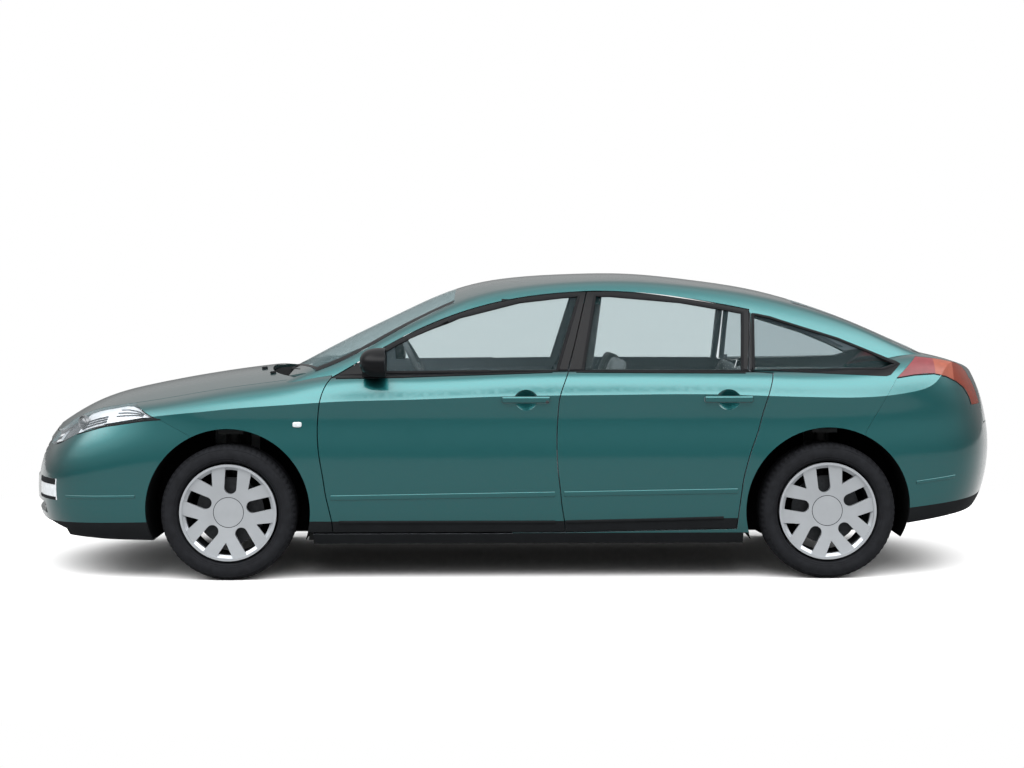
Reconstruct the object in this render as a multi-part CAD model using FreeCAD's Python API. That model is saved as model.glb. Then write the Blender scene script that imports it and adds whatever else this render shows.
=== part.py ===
import FreeCAD, Part
import math
import os

# A four-door saloon car. It faces -X, its left side is at -Y and it stands on z = 0.
# The origin is on the ground, at half the length and on the centreline.

# Driving dimensions of the whole car, in millimetres
length = 4908.0
width = 1860.0
height = 1470.0
wheelbase = 2900.0
front_axle_x = -1374.0
front_track = 1586.0
rear_track = 1558.0
half_width = width / 2
rear_axle_x = front_axle_x + wheelbase

# Walls and gaps
panel_gap = 5.0
trim_gap = 0.9
skin_wall = 20.0
bonnet_wall = 28.0
door_wall = 115.0
frame_wall = 34.0
roof_wall = 26.0
glass_wall = 4.5
glass_inset = 7.0
seat_gap = 0.3
overrun = 400.0

# Sections of the upper body: bonnet, wings, waist and boot deck.
# Each row: place along the car, centre height, shoulder half-width and height, crease half-width and height
upper_section_shares = [
    (-0.522, 0.320, 0.323, 0.299, 0.505, 0.224),
    (-0.499, 0.408, 0.355, 0.388, 0.559, 0.320),
    (-0.479, 0.474, 0.462, 0.446, 0.645, 0.391),
    (-0.458, 0.525, 0.602, 0.484, 0.769, 0.439),
    (-0.428, 0.577, 0.731, 0.537, 0.876, 0.484),
    (-0.387, 0.616, 0.801, 0.573, 0.944, 0.515),
    (-0.346, 0.643, 0.819, 0.593, 0.973, 0.534),
    (-0.280, 0.677, 0.833, 0.629, 0.986, 0.554),
    (-0.224, 0.697, 0.849, 0.653, 0.989, 0.564),
    (-0.177, 0.707, 0.898, 0.670, 0.989, 0.571),
    (-0.102, 0.711, 0.910, 0.675, 0.989, 0.578),
    (0.000, 0.711, 0.914, 0.686, 0.989, 0.589),
    (0.102, 0.711, 0.914, 0.690, 0.989, 0.593),
    (0.204, 0.714, 0.910, 0.688, 0.989, 0.595),
    (0.265, 0.721, 0.901, 0.686, 0.987, 0.590),
    (0.311, 0.731, 0.887, 0.687, 0.984, 0.584),
    (0.357, 0.743, 0.849, 0.707, 0.973, 0.577),
    (0.397, 0.747, 0.801, 0.733, 0.952, 0.570),
    (0.428, 0.727, 0.769, 0.720, 0.914, 0.563),
    (0.458, 0.699, 0.731, 0.687, 0.849, 0.544),
    (0.479, 0.660, 0.667, 0.643, 0.785, 0.510),
    (0.499, 0.605, 0.581, 0.585, 0.699, 0.463),
    (0.522, 0.537, 0.484, 0.517, 0.602, 0.408),
]
# Sections of the cabin top: centre height, roof rail half-width and height, foot half-width and height
cabin_section_shares = [
    (-0.265, 0.616, 0.946, 0.578, 0.968, 0.544),
    (-0.244, 0.656, 0.919, 0.622, 0.946, 0.578),
    (-0.224, 0.692, 0.887, 0.643, 0.927, 0.599),
    (-0.204, 0.728, 0.855, 0.670, 0.914, 0.616),
    (-0.163, 0.799, 0.814, 0.714, 0.910, 0.622),
    (-0.122, 0.864, 0.758, 0.788, 0.910, 0.626),
    (-0.081, 0.927, 0.715, 0.856, 0.912, 0.629),
    (-0.041, 0.971, 0.685, 0.914, 0.914, 0.633),
    (0.000, 0.993, 0.663, 0.948, 0.914, 0.636),
    (0.061, 1.005, 0.652, 0.971, 0.914, 0.639),
    (0.122, 1.005, 0.648, 0.974, 0.914, 0.639),
    (0.183, 0.985, 0.651, 0.959, 0.912, 0.639),
    (0.244, 0.954, 0.658, 0.929, 0.906, 0.639),
    (0.306, 0.897, 0.677, 0.876, 0.892, 0.636),
    (0.357, 0.831, 0.710, 0.811, 0.869, 0.633),
    (0.397, 0.773, 0.753, 0.746, 0.849, 0.629),
    (0.428, 0.725, 0.783, 0.705, 0.839, 0.622),
    (0.458, 0.670, 0.812, 0.646, 0.833, 0.599),
]
# Levels of the lower body: height, and how far the side, nose and tail stand in from the car's box
level_shares = [
    (0.102, 0.102, 0.0306, 0.0530),
    (0.146, 0.056, 0.0082, 0.0336),
    (0.204, 0.026, 0.0012, 0.0126),
    (0.293, 0.009, 0.0, 0.0041),
    (0.381, 0.0, 0.0037, 0.0),
    (0.463, 0.009, 0.0173, 0.0004),
    (0.537, 0.022, 0.0387, 0.0045),
    (0.599, 0.013, 0.0530, 0.0092),
    (0.680, 0.009, 0.0672, 0.0204),
    (0.769, 0.009, 0.0856, 0.0387),
]
# Plan of the nose and the tail: share of the half-width, share of the depth of the rounded end
nose_plan_shares = [(0.0, 0.0), (0.33, 0.060), (0.58, 0.155), (0.76, 0.262), (0.88, 0.412), (0.955, 0.64),
                    (0.99, 1.0)]
tail_plan_shares = [(0.0, 0.0), (0.33, 0.050), (0.58, 0.135), (0.75, 0.235), (0.87, 0.385), (0.945, 0.63),
                    (0.985, 1.0)]
nose_depth = 650.0
tail_depth = 700.0
# Places along the sides between the rounded ends, with their share of the half-width
side_plan_shares = [(-0.280, 0.996), (-0.177, 1.0), (-0.061, 1.0), (0.061, 1.0), (0.183, 1.0), (0.311, 0.996)]

# How far in the side walls reach, and how a door's trailing edge leans in
inner_reach_share = 0.45
undercut_lean = 0.36
undercut_depth = 150.0
lip_depth = 5.0

# How the sections are shaped between their named points
skirt_reach_share = 0.07
skirt_drop_share = 0.045
shoulder_turn_shares = [(0.86, 0.60), (0.52, 0.20)]
crown_place_shares = [0.90, 0.68, 0.36, 0.0]
crown_power = 2.2
rail_turn_share = 0.075
window_bow_shares = [(0.0, 0.0), (0.26, 0.33), (0.60, 0.68), (0.86, 0.91)]
rail_bow_shares = [(0.25, 0.10), (1.0, 0.32)]
roof_bow_shares = [(0.66, 0.68), (0.34, 0.93), (0.0, 1.0)]
rail_zone_share = 0.9
roof_fade_power = 4


def vec(x, y, z):
    """A point or a direction."""
    return FreeCAD.Vector(x, y, z)


def mirrored(shape):
    """The same piece on the other side of the car."""
    return shape.mirror(vec(0, 0, 0), vec(0, 1, 0))


def clamped_row(count, degree):
    """Knots and multiplicities of an open row of poles."""
    spans = count - degree
    mults = [degree + 1] + [1] * (spans - 1) + [degree + 1]
    return [i / spans for i in range(spans + 1)], mults


def skin(sections, params, closed=False):
    """A face through sections of poles: shaped by the poles across, and through them along."""
    columns = []
    for j in range(len(sections[0])):
        curve = Part.BSplineCurve()
        points = [section[j] for section in sections]
        curve.interpolate(Points=points, PeriodicFlag=closed, Parameters=params)
        columns.append(curve)
    poles = [[curve.getPole(i + 1) for curve in columns] for i in range(columns[0].NbPoles)]
    knots, mults = clamped_row(len(columns), 3)
    surface = Part.BSplineSurface()
    surface.buildFromPolesMultsKnots(
        poles, columns[0].getMultiplicities(), mults, columns[0].getKnots(), knots, closed, False,
        columns[0].Degree, 3)
    return surface.toShape()


def evened(values):
    """Parameters from 0 to 1 in step with the values."""
    return [(value - values[0]) / (values[-1] - values[0]) for value in values]


# Surfaces of the body

def level_ring(level, inset):
    """One closed ring of the lower body, seen from above, starting at the nose and going round the left."""
    z_share, side_share, nose_share, tail_share = level
    half = half_width * (1 - side_share) - inset
    nose = -length / 2 + length * nose_share + inset
    tail = length / 2 - length * tail_share - inset
    left = [(nose + depth * nose_depth, -half * share) for share, depth in nose_plan_shares]
    left += [(length * place, -half * share) for place, share in side_plan_shares]
    left += [(tail - depth * tail_depth, -half * share) for share, depth in reversed(tail_plan_shares)]
    right = [(x, -y) for x, y in reversed(left[1:-1])]
    return [vec(x, y, height * z_share) for x, y in left + right]


def lower_hull(inset):
    """The solid inside the body's side, nose and tail surface, cut flat below and above."""
    rings = [level_ring(level, inset) for level in level_shares]
    guide = level_ring(level_shares[4], 0)
    travel = [0.0]
    for a, b in zip(guide, guide[1:] + guide[:1]):
        travel.append(travel[-1] + a.distanceToPoint(b))
    sections = [[ring[i] for ring in rings] for i in range(len(guide))]
    side = skin(sections, evened(travel), closed=True)
    caps = []
    for edge in side.Edges:
        if edge.isClosed() and edge.BoundBox.ZLength < seat_gap:
            caps.append(Part.Face(Part.Wire([edge])))
    shell = Part.makeShell([side] + caps)
    shell.sewShape()
    solid = Part.makeSolid(shell)
    if solid.Volume < 0:
        solid.reverse()
    return solid


def fullwise(half_row):
    """A row of poles from the left edge to the centre, with its mirror image added."""
    return half_row + [vec(p.x, -p.y, p.z) for p in reversed(half_row[:-1])]


def upper_row(section, side_inset, top_inset):
    """Poles across the bonnet, waist or deck, from outside the left crease to the centre and on."""
    x_share, centre, shoulder_y, shoulder_z, crease_y, crease_z = section
    run = crease_y - shoulder_y
    drop = shoulder_z - crease_z
    shape_shares = [
        (crease_y + skirt_reach_share, crease_z - skirt_drop_share),
        (crease_y, crease_z),
    ]
    for across, down in shoulder_turn_shares + [(0, 0)]:
        shape_shares.append((shoulder_y + run * across, shoulder_z - drop * down))
    for across in crown_place_shares:
        shape_shares.append((shoulder_y * across, centre - (centre - shoulder_z) * across ** crown_power))
    half = []
    for y, z in shape_shares:
        inward = side_inset * min(y / shoulder_y, 1)
        half.append(vec(length * x_share, inward - half_width * y, height * z - top_inset))
    return fullwise(half)


def upper_solid(side_inset, top_inset):
    """All that lies under the top of the body without its cabin, in one sheet from nose to tail."""
    rows = [upper_row(section, side_inset, top_inset) for section in upper_section_shares]
    face = skin(rows, evened([section[0] for section in upper_section_shares]))
    return face.extrude(vec(0, 0, -height))


def body_solid(side_inset, top_inset):
    """The body below the waist as one solid, a wall thinner than the real one."""
    return lower_hull(side_inset).common(upper_solid(side_inset, top_inset))


def cabin_row(section, side_inset, top_inset):
    """Poles across the cabin top, from the foot of the left window over the roof."""
    x_share, centre, rail_y, rail_z, foot_y, foot_z = section
    lean_y = foot_y - rail_y
    rise = rail_z - foot_z
    crown = centre - rail_z
    shape_shares = [(foot_y - lean_y * across, foot_z + rise * up) for across, up in window_bow_shares]
    shape_shares += [(rail_y - rail_turn_share * across, rail_z + crown * up) for across, up in rail_bow_shares]
    shape_shares += [(rail_y * across, rail_z + crown * up) for across, up in roof_bow_shares]
    half = []
    for y, z in shape_shares:
        inward = side_inset if y > rail_y * rail_zone_share else side_inset * y / rail_y
        downward = top_inset * (1 - (y / foot_y) ** roof_fade_power)
        half.append(vec(length * x_share, -max(half_width * y - inward, 0), height * z - downward))
    return fullwise(half)


def cabin_solid(side_inset, top_inset):
    """The solid under the side windows, the windscreen, the roof and the rear window."""
    rows = [cabin_row(section, side_inset, top_inset) for section in cabin_section_shares]
    face = skin(rows, evened([section[0] for section in cabin_section_shares]))
    return face.extrude(vec(0, 0, -height))


# Outlines and cutters

def wire_of(runs):
    """A closed wire of runs of points: two points make a straight edge, more make a curve."""
    edges = []
    for run in runs:
        if len(run) == 2:
            edges.append(Part.LineSegment(run[0], run[1]).toShape())
        else:
            curve = Part.BSplineCurve()
            curve.interpolate(Points=run)
            edges.append(curve.toShape())
    return Part.Wire(edges)


def grown(runs, distance):
    """The runs of a closed outline in (a, b) pairs, moved outward by a distance."""
    loop = []
    for run in runs:
        loop += run[:-1]
    area = sum(p[0] * q[1] - q[0] * p[1] for p, q in zip(loop, loop[1:] + loop[:1]))
    side = distance if area > 0 else -distance
    moved = []
    for i, point in enumerate(loop):
        before = loop[i - 1]
        after = loop[(i + 1) % len(loop)]
        normals = []
        for p, q in ((before, point), (point, after)):
            reach = math.hypot(q[0] - p[0], q[1] - p[1])
            normals.append(((q[1] - p[1]) / reach, (p[0] - q[0]) / reach))
        (ax, ay), (bx, by) = normals
        fold = 1 + ax * bx + ay * by
        moved.append((point[0] + side * (ax + bx) / fold, point[1] + side * (ay + by) / fold))
    result = []
    start = 0
    for run in runs:
        count = len(run) - 1
        result.append([moved[(start + k) % len(moved)] for k in range(count + 1)])
        start += count
    return result


def side_prism(runs, near, far):
    """A side-view outline pushed across the car from y = near to y = far."""
    wire = wire_of([[vec(x, near, z) for x, z in run] for run in runs])
    return Part.Face(wire).extrude(vec(0, far - near, 0))


def plan_prism(runs, low, high):
    """An outline seen from above, pushed up from z = low to z = high."""
    wire = wire_of([[vec(x, y, low) for x, y in run] for run in runs])
    return Part.Face(wire).extrude(vec(0, 0, high - low))


def box(x0, x1, y0, y1, z0, z1):
    """A block between two corners."""
    return Part.makeBox(x1 - x0, y1 - y0, z1 - z0, vec(x0, y0, z0))


def drum(radius, wide, centre, axis=None):
    """A cylinder across the car, or along an axis, centred on a point."""
    axis = axis or vec(0, 1, 0)
    return Part.makeCylinder(radius, wide, centre - axis * (wide / 2), axis)


def joined(shapes):
    """Several pieces fused into one."""
    whole = shapes[0]
    if len(shapes) > 1:
        whole = whole.fuse(shapes[1:])
    return whole.removeSplitter()


def largest(shape):
    """The biggest solid of a shape, without slivers left by cuts."""
    return max(shape.Solids, key=lambda solid: solid.Volume)


def both_sides(shape):
    """A left piece and its mirror image."""
    return [shape, mirrored(shape)]


def apart(shapes):
    """Several pieces that don't touch, kept together."""
    return Part.makeCompound(shapes)


def from_shares(pairs, across=None):
    """Side-view places from shares of the length and the height."""
    return [(length * a, (across or height) * b) for a, b in pairs]


def from_plan_shares(pairs):
    """Places seen from above, from shares of the length and the half-width."""
    return [(length * a, half_width * b) for a, b in pairs]


# Shut lines of the left side, seen from the side, in shares of the length and the height
front_lead_shares = [(-0.178, 0.665), (-0.187, 0.610), (-0.190, 0.554), (-0.191, 0.490), (-0.189, 0.403),
                     (-0.186, 0.344), (-0.183, 0.276), (-0.178, 0.197), (-0.177, 0.156)]
door_split_shares = [(0.052, 0.156), (0.051, 0.199), (0.049, 0.241), (0.047, 0.303), (0.045, 0.360),
                     (0.044, 0.425), (0.044, 0.487), (0.045, 0.545), (0.047, 0.601), (0.051, 0.643),
                     (0.056, 0.687)]
front_top_shares = [(0.075, 0.946), (0.063, 0.944), (0.008, 0.925), (-0.052, 0.876), (-0.112, 0.790),
                    (-0.170, 0.680), (-0.178, 0.665)]
rear_trail_shares = [(0.221, 0.167), (0.223, 0.229), (0.225, 0.283), (0.227, 0.333), (0.231, 0.387),
                     (0.236, 0.441), (0.241, 0.487), (0.245, 0.537), (0.250, 0.591), (0.255, 0.645),
                     (0.257, 0.677)]
rear_step_share = (0.2345, 0.683)
rear_top_shares = [(0.2372, 0.884), (0.215, 0.899), (0.168, 0.925), (0.098, 0.946), (0.075, 0.946)]
front_light_shares = [(-0.132, 0.736), (-0.112, 0.774), (-0.052, 0.859), (0.008, 0.909), (0.051, 0.925),
                      (0.066, 0.928)]
front_light_foot_shares = [(0.044, 0.689), (-0.132, 0.684)]
rear_light_shares = [(0.084, 0.929), (0.098, 0.929), (0.168, 0.908), (0.215, 0.881), (0.2295, 0.871)]
rear_light_foot_shares = [(0.2265, 0.687), (0.071, 0.689)]
quarter_light_shares = [(0.2415, 0.866), (0.257, 0.855), (0.284, 0.826), (0.324, 0.784), (0.356, 0.740),
                        (0.379, 0.704)]
quarter_light_foot_shares = [(0.366, 0.692), (0.2395, 0.689)]
headlamp_top_shares = [(-0.347, 0.533), (-0.365, 0.562), (-0.380, 0.590), (-0.404, 0.600), (-0.428, 0.590),
                       (-0.450, 0.570), (-0.461, 0.550)]
headlamp_front_shares = [(-0.520, 0.540), (-0.520, 0.436)]
headlamp_low_shares = [(-0.461, 0.436), (-0.446, 0.454), (-0.434, 0.476), (-0.403, 0.506), (-0.363, 0.527),
                       (-0.347, 0.533)]
tail_lamp_low_shares = [(0.379, 0.661), (0.397, 0.670), (0.417, 0.673), (0.430, 0.663), (0.442, 0.644),
                        (0.451, 0.623), (0.457, 0.593), (0.460, 0.565)]
tail_lamp_back_shares = [(0.510, 0.565), (0.510, 0.640), (0.462, 0.650)]
tail_lamp_top_shares = [(0.462, 0.650), (0.456, 0.682), (0.435, 0.712), (0.418, 0.722), (0.401, 0.728)]
# Shut line of the bonnet, seen from above, in shares of the length and the half-width
bonnet_side_shares = [(-0.448, 0.602), (-0.420, 0.710), (-0.382, 0.787), (-0.334, 0.801), (-0.278, 0.809),
                      (-0.234, 0.815), (-0.205, 0.822)]
bonnet_rear_shares = [(-0.205, 0.822), (-0.227, 0.680), (-0.243, 0.450), (-0.2485, 0.0), (-0.243, -0.450),
                      (-0.227, -0.680), (-0.205, -0.822)]
cowl_rear_share = (-0.172, 0.700)
bonnet_nose_shares = [(-0.448, -0.602), (-0.462, -0.484), (-0.4700, -0.323), (-0.4725, 0.0), (-0.4700, 0.323),
                      (-0.462, 0.484), (-0.448, 0.602)]
# Glass seen from above
screen_side_shares = [(-0.195, 0.835), (-0.160, 0.778), (-0.120, 0.713), (-0.085, 0.665), (-0.058, 0.636)]
screen_foot_shares = [(-0.226, 0.0), (-0.218, 0.40), (-0.195, 0.835)]
back_light_side_shares = [(0.283, 0.620), (0.320, 0.640), (0.360, 0.680), (0.409, 0.735)]
boot_side_shares = [(0.409, 0.670), (0.430, 0.650), (0.450, 0.610), (0.4625, 0.582), (0.475, 0.571), (0.510, 0.568)]
boot_front_shares = [(0.409, -0.670), (0.404, -0.40), (0.402, 0.0), (0.404, 0.40), (0.409, 0.670)]
roof_side_shares = [(-0.058, 0.600), (0.0, 0.588), (0.100, 0.578), (0.200, 0.582), (0.283, 0.600)]

# Where the bumpers meet the wheel arches, and their lower edges
bumper_arch_share = (-0.317, 0.479)
rear_bumper_arch_share = (0.347, 0.485)
front_lip_shares = [(-0.52, 0.195), (-0.462, 0.183), (-0.4445, 0.163), (-0.4425, 0.140), (-0.40, 0.133),
                    (-0.25, 0.125)]
rear_lip_shares = [(0.30, 0.180), (0.390, 0.180), (0.437, 0.202), (0.52, 0.235)]

# Grille, lower intake and lamps
grille_half = 430.0
grille_low = 470.0
grille_high = 655.0
grille_bars = 6
grille_sink = 6.0
bar_wide = 12.0
intake_half = 640.0
intake_low = 305.0
intake_high = 360.0
fog_out = 770.0
fog_in = 535.0
fog_low = 380.0
fog_high = 485.0
fog_depth = 45.0
lamp_depth = 60.0
headlamp_inner = 470.0

# Heights where outlines seen from the side or from above begin to cut
waist_z = height * 0.681
boot_lid_low = height * 0.50
lid_cut_z = height * 0.35

# Sills, pillars and the pads that carry the doors
rail_wall = 70.0
post_depth = 60.0
post_wide = 90.0
sill_low = 172.0
sill_top = 222.0
sill_in = 700.0
hinge_post_low = 640.0
post_top = 915.0
post_shelf_z = 974.0
pad_wide = 40.0
pad_low = 420.0
pad_high = 720.0
pillar_foot_share = 0.2
b_post_shares = [(0.056, 0.657), (0.078, 0.657), (0.092, 0.960), (0.068, 0.960)]

# Cowl panel
cowl_sink = 22.0
cowl_wall = 4.0
cowl_rest_half = 560.0

# Door mirrors
mirror_x = -726.0
mirror_long = 122.0
mirror_out = 1060.0
mirror_wide = 108.0
mirror_z = 1056.0
mirror_tall = 70.0
mirror_rim = 9.0
mirror_ring_shares = [(0.0, 0.36), (0.07, 0.58), (0.2, 0.78), (0.45, 0.94), (0.75, 1.0), (1.0, 0.98)]

# Door handles and the hollows behind them
handle_long = 234.0
handle_tall = 34.0
handle_proud = 26.0
handle_round = 11.0
grip_from_end = 34.0
grip_gap = 12.0
cup_radius = 78.0
cup_out = 54.0
front_handle = (67.0, 874.0)
rear_handle = (1042.0, 874.0)

# Wheel arches and tyres
wheel_arch_radius = 398.0
arch_z = 338.0
liner_wall = 3.0
liner_low = 190.0
liner_slot = 112.0
tyre_radius = 328.0
tyre_wide = 225.0
bead_sink = 12.0
bead_wide = 14.0
shoulder = 16.0

# Rims and brake discs
rim_radius = 247.0
rim_wide = 205.0
lip_inner = 223.0
lip_sink = 10.0
barrel_inner = 208.0
barrel_wall = 12.0
dish_sink = 26.0
spoke_deep = 32.0
spoke_pairs = 5
cap_radius = 73.0
slot_inner = 90.0
slot_outer = 222.0
slot_wide = 60.0
window_apex = 147.0
window_wide = 84.0
hub_radius = 74.0
hub_long = 40.0
disc_radius = 165.0
disc_wide = 26.0
front_turn = 5.0
rear_turn = -7.5

# Uprights and calipers
carrier_radius = 55.0
carrier_long = 60.0
post_reach = 120.0
kingpin_in = 75.0
kingpin_radius = 16.0
caliper_in = 60.0
caliper_out = 150.0
caliper_wide = 40.0
caliper_tall = 160.0

# Crossmembers, arms and struts
beam_wide = 90.0
beam_half = 440.0
beam_low = 200.0
beam_high = 260.0
arm_thick = 24.0
strut_radius = 30.0
strut_top = 700.0
strut_y = 600.0

# Floor, bulkhead, rails and boot
floor_thick = 40.0
overlap = 10.0
bulkhead_x = -960.0
bulkhead_z = 925.0
arch_front_x = rear_axle_x - 408.0
boot_floor_z = 470.0
boot_end_x = 2320.0
tail_wall_x = 2240.0
tail_wall_z = 700.0
latch_half = 30.0
latch_z = 790.0
lid_seat = 28.3
rear_wall_x = 1330.0
shelf_z = 930.0
shelf_end_x = 1980.0
shelf_share = 0.62
rail_low = 400.0
rail_nose_x = -2200.0
rail_y = 470.0
rail_wide = 60.0
nose_beam_half = 520.0
tower_out = 760.0

# Engine
engine_x = -1900.0
engine_long = 800.0
engine_wide = 640.0
engine_low = 260.3
engine_tall = 480.0

# Dashboard and steering wheel
dash_low = 640.0
dash_mid = 800.0
dash_high = 940.0
dash_x = -620.0
dash_lip = 60.0
dash_half = 684.0
wheel_ring = 185.0
wheel_ring_thick = 14.0
column_long = 400.0
column_radius = 22.4
column_rise = 28.0
steering_x = -452.0
steering_z = 975.0

# Seats
seat_y = 370.0
seat_wide = 500.0
front_seat_x = -180.0
rear_seat_x = 445.0
rear_seat_wide = 1260.0
cushion_long = 560.0
cushion_tall = 300.0
back_thick = 130.0
back_tall = 560.0
back_lean = 20.0
head_wide = 260.0
head_tall = 170.0
head_thick = 91.0

# Exhaust
exhaust_radius = 30.0
exhaust_start_x = -1000.0
exhaust_rise_x = 1160.0
exhaust_top_x = 1350.0
exhaust_high_z = 340.0
silencer_x = 1720.0
silencer_long = 340.0
silencer_radius = 75.0


def front_door_runs():
    """The outline of the front door, seen from the side."""
    lead = from_shares(front_lead_shares)
    split = from_shares(door_split_shares)
    top = from_shares(front_top_shares)
    return [lead, [lead[-1], split[0]], split, [split[-1], top[0]], top]


def rear_door_runs():
    """The outline of the rear door, seen from the side."""
    split = from_shares(door_split_shares)
    trail = from_shares(rear_trail_shares)
    step = from_shares([rear_step_share])[0]
    top = from_shares(rear_top_shares)
    return [list(reversed(split)), [split[0], trail[0]], trail, [trail[-1], step], [step, top[0]], top,
            [top[-1], split[-1]]]


def front_light_runs():
    """The outline of the front door's window."""
    top = from_shares(front_light_shares)
    feet = from_shares(front_light_foot_shares)
    return [top, [top[-1], feet[0]], [feet[0], feet[1]], [feet[1], top[0]]]


def rear_light_runs():
    """The outline of the rear door's window."""
    top = from_shares(rear_light_shares)
    feet = from_shares(rear_light_foot_shares)
    return [top, [top[-1], feet[0]], [feet[0], feet[1]], [feet[1], top[0]]]


def quarter_light_runs():
    """The outline of the fixed window behind the rear door."""
    top = from_shares(quarter_light_shares)
    feet = from_shares(quarter_light_foot_shares)
    return [top, [top[-1], feet[0]], [feet[0], feet[1]], [feet[1], top[0]]]


def headlamp_runs():
    """The outline of the headlamp, seen from the side."""
    top = from_shares(headlamp_top_shares)
    front = from_shares(headlamp_front_shares)
    low = from_shares(headlamp_low_shares)
    return [top, [top[-1], front[0]], [front[0], front[1]], [front[1], low[0]], low]


def tail_lamp_runs():
    """The outline of the tail lamp, seen from the side."""
    low = from_shares(tail_lamp_low_shares)
    back = from_shares(tail_lamp_back_shares)
    top = from_shares(tail_lamp_top_shares)
    return [low, [low[-1], back[0]], [back[0], back[1]], [back[1], back[2]], top, [top[-1], low[0]]]


def bonnet_runs():
    """The outline of the bonnet, seen from above."""
    side = from_plan_shares(bonnet_side_shares)
    rear = from_plan_shares(bonnet_rear_shares)
    nose = from_plan_shares(bonnet_nose_shares)
    other = [(x, -y) for x, y in reversed(side)]
    return [side, rear, other, nose]


def screen_runs():
    """The outline of the windscreen, seen from above."""
    side = from_plan_shares(screen_side_shares)
    foot = from_plan_shares(screen_foot_shares)
    whole_foot = [(x, -y) for x, y in reversed(foot[1:])] + foot
    other = [(x, -y) for x, y in reversed(side)]
    return [whole_foot, side, [side[-1], other[0]], other]


def back_light_runs():
    """The outline of the rear window, seen from above."""
    side = from_plan_shares(back_light_side_shares)
    other = [(x, -y) for x, y in reversed(side)]
    return [side, [side[-1], other[0]], other, [other[-1], side[0]]]


# The body's solids, used by every panel
far = half_width + overrun
body_outer = body_solid(0, 0)
body_skin = body_solid(skin_wall, skin_wall)
body_inner = lower_hull(door_wall)
cabin_outer = cabin_solid(0, 0)
cabin_frame = cabin_solid(frame_wall, frame_wall)


def above(shape, z):
    """The part of a piece above a height."""
    return shape.common(box(-length, length, -far, far, z, z + height))


def arch_drum(axle_x, radius):
    """The round space of a wheel arch, on the left."""
    return drum(radius, far, vec(axle_x, -far, arch_z))


def left_half(shape):
    """The outer left of a piece, far enough in for every side wall."""
    return shape.common(box(-length, length, -far, -half_width * inner_reach_share, 0, 2 * height))


def skin_y(x, z):
    """How far out the left skin lies at a place seen from the side."""
    probe = Part.makeLine(vec(x, -far, z), vec(x, 0, z))
    reach = 0.0
    for solid in (body_outer, cabin_outer):
        hit = probe.common(solid)
        if hit.Edges:
            reach = min(reach, hit.BoundBox.YMin)
    return reach


def undercut(line):
    """What is cut from a door behind its trailing shut line, so that its inner edge swings clear."""
    wires = []
    last = line[-1]
    for x, z in line + [(last[0], last[1] + door_wall)]:
        out = skin_y(x, min(z, last[1])) + lip_depth
        inner = x - undercut_lean * undercut_depth
        corners = [(x, out), (inner, out + undercut_depth), (x + far, out + undercut_depth), (x + far, out)]
        points = [vec(a, b, z) for a, b in corners]
        wires.append(Part.makePolygon(points + points[:1]))
    return Part.makeLoft(wires, True, True)


def door(runs, light_runs, trail):
    """One left door, cut from the thickness of the body's side, with its window open."""
    space = side_prism(grown(runs, -panel_gap / 2), -far, 0)
    window = side_prism(light_runs, -far, 0)
    lower = door_stock.common(space).cut(window)
    frame = frame_stock.common(space).cut(window)
    return lower.fuse(frame).cut(undercut([(x - panel_gap / 2, z) for x, z in trail]))


def with_handle(panel, place):
    """A left door with a grip hollow and a pull handle that bridges it."""
    x, z = place
    skin = skin_y(x, z)
    hollow = Part.makeSphere(cup_radius, vec(x, skin - cup_out, z))
    half_long = handle_long / 2
    half_tall = handle_tall / 2
    bar = box(x - half_long, x + half_long, skin - handle_proud, skin + overlap, z - half_tall, z + half_tall)
    bar = bar.makeFillet(handle_round, bar.Edges)
    grip_half = half_long - grip_from_end
    grip = box(x - grip_half, x + grip_half, skin - grip_gap, skin + far, z - handle_tall, z + handle_tall)
    return panel.cut(hollow).fuse(bar.cut(grip))


def door_glass(light_runs):
    """The glass that fills a left window."""
    return pane_stock.common(side_prism(grown(light_runs, -seat_gap), -far, 0))


def boot_runs():
    """The outline of the boot lid, seen from above."""
    side = from_plan_shares(boot_side_shares)
    front = from_plan_shares(boot_front_shares)
    other = [(x, -y) for x, y in reversed(side)]
    return [side, [side[-1], other[0]], other, front]


def roof_runs():
    """The outline of the roof panel, seen from above."""
    side = from_plan_shares(roof_side_shares)
    other = [(x, -y) for x, y in reversed(side)]
    return [side, [side[-1], other[0]], other, [other[-1], side[0]]]


def cowl_runs():
    """The outline of the panel between the bonnet and the windscreen, seen from above."""
    front = from_plan_shares(bonnet_rear_shares)
    x, y = from_plan_shares([cowl_rear_share])[0]
    return [front, [front[-1], (x, -y)], [(x, -y), (x, y)], [(x, y), front[0]]]


# Outer panels

def make_bonnet():
    """The bonnet: one curved sheet with a folded edge."""
    slab = body_outer.cut(upper_solid(0, bonnet_wall))
    return slab.common(plan_prism(grown(bonnet_runs(), -panel_gap / 2), lid_cut_z, height))


def make_boot_lid():
    """The boot lid: the deck and the upper tail in one piece."""
    stock = body_outer.cut(body_solid(bonnet_wall, bonnet_wall))
    stock = stock.common(plan_prism(grown(boot_runs(), -panel_gap / 2), boot_lid_low, height))
    return stock


def make_roof():
    """The roof panel between the rails."""
    return above(cabin_outer.cut(cabin_solid(0, roof_wall)), waist_z).common(
        plan_prism(grown(roof_runs(), -seat_gap / 2), waist_z, 2 * height))


def make_screen(runs):
    """A bonded front or rear window, as thick as its glass."""
    sheet = cabin_outer.cut(cabin_solid(0, glass_wall))
    sheet = sheet.common(plan_prism(grown(runs, -seat_gap / 2), waist_z, 2 * height))
    lid = plan_prism(grown(boot_runs(), panel_gap / 2), waist_z, 2 * height)
    return sheet.cut(upper_solid(0, 0)).cut(lid)


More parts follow.
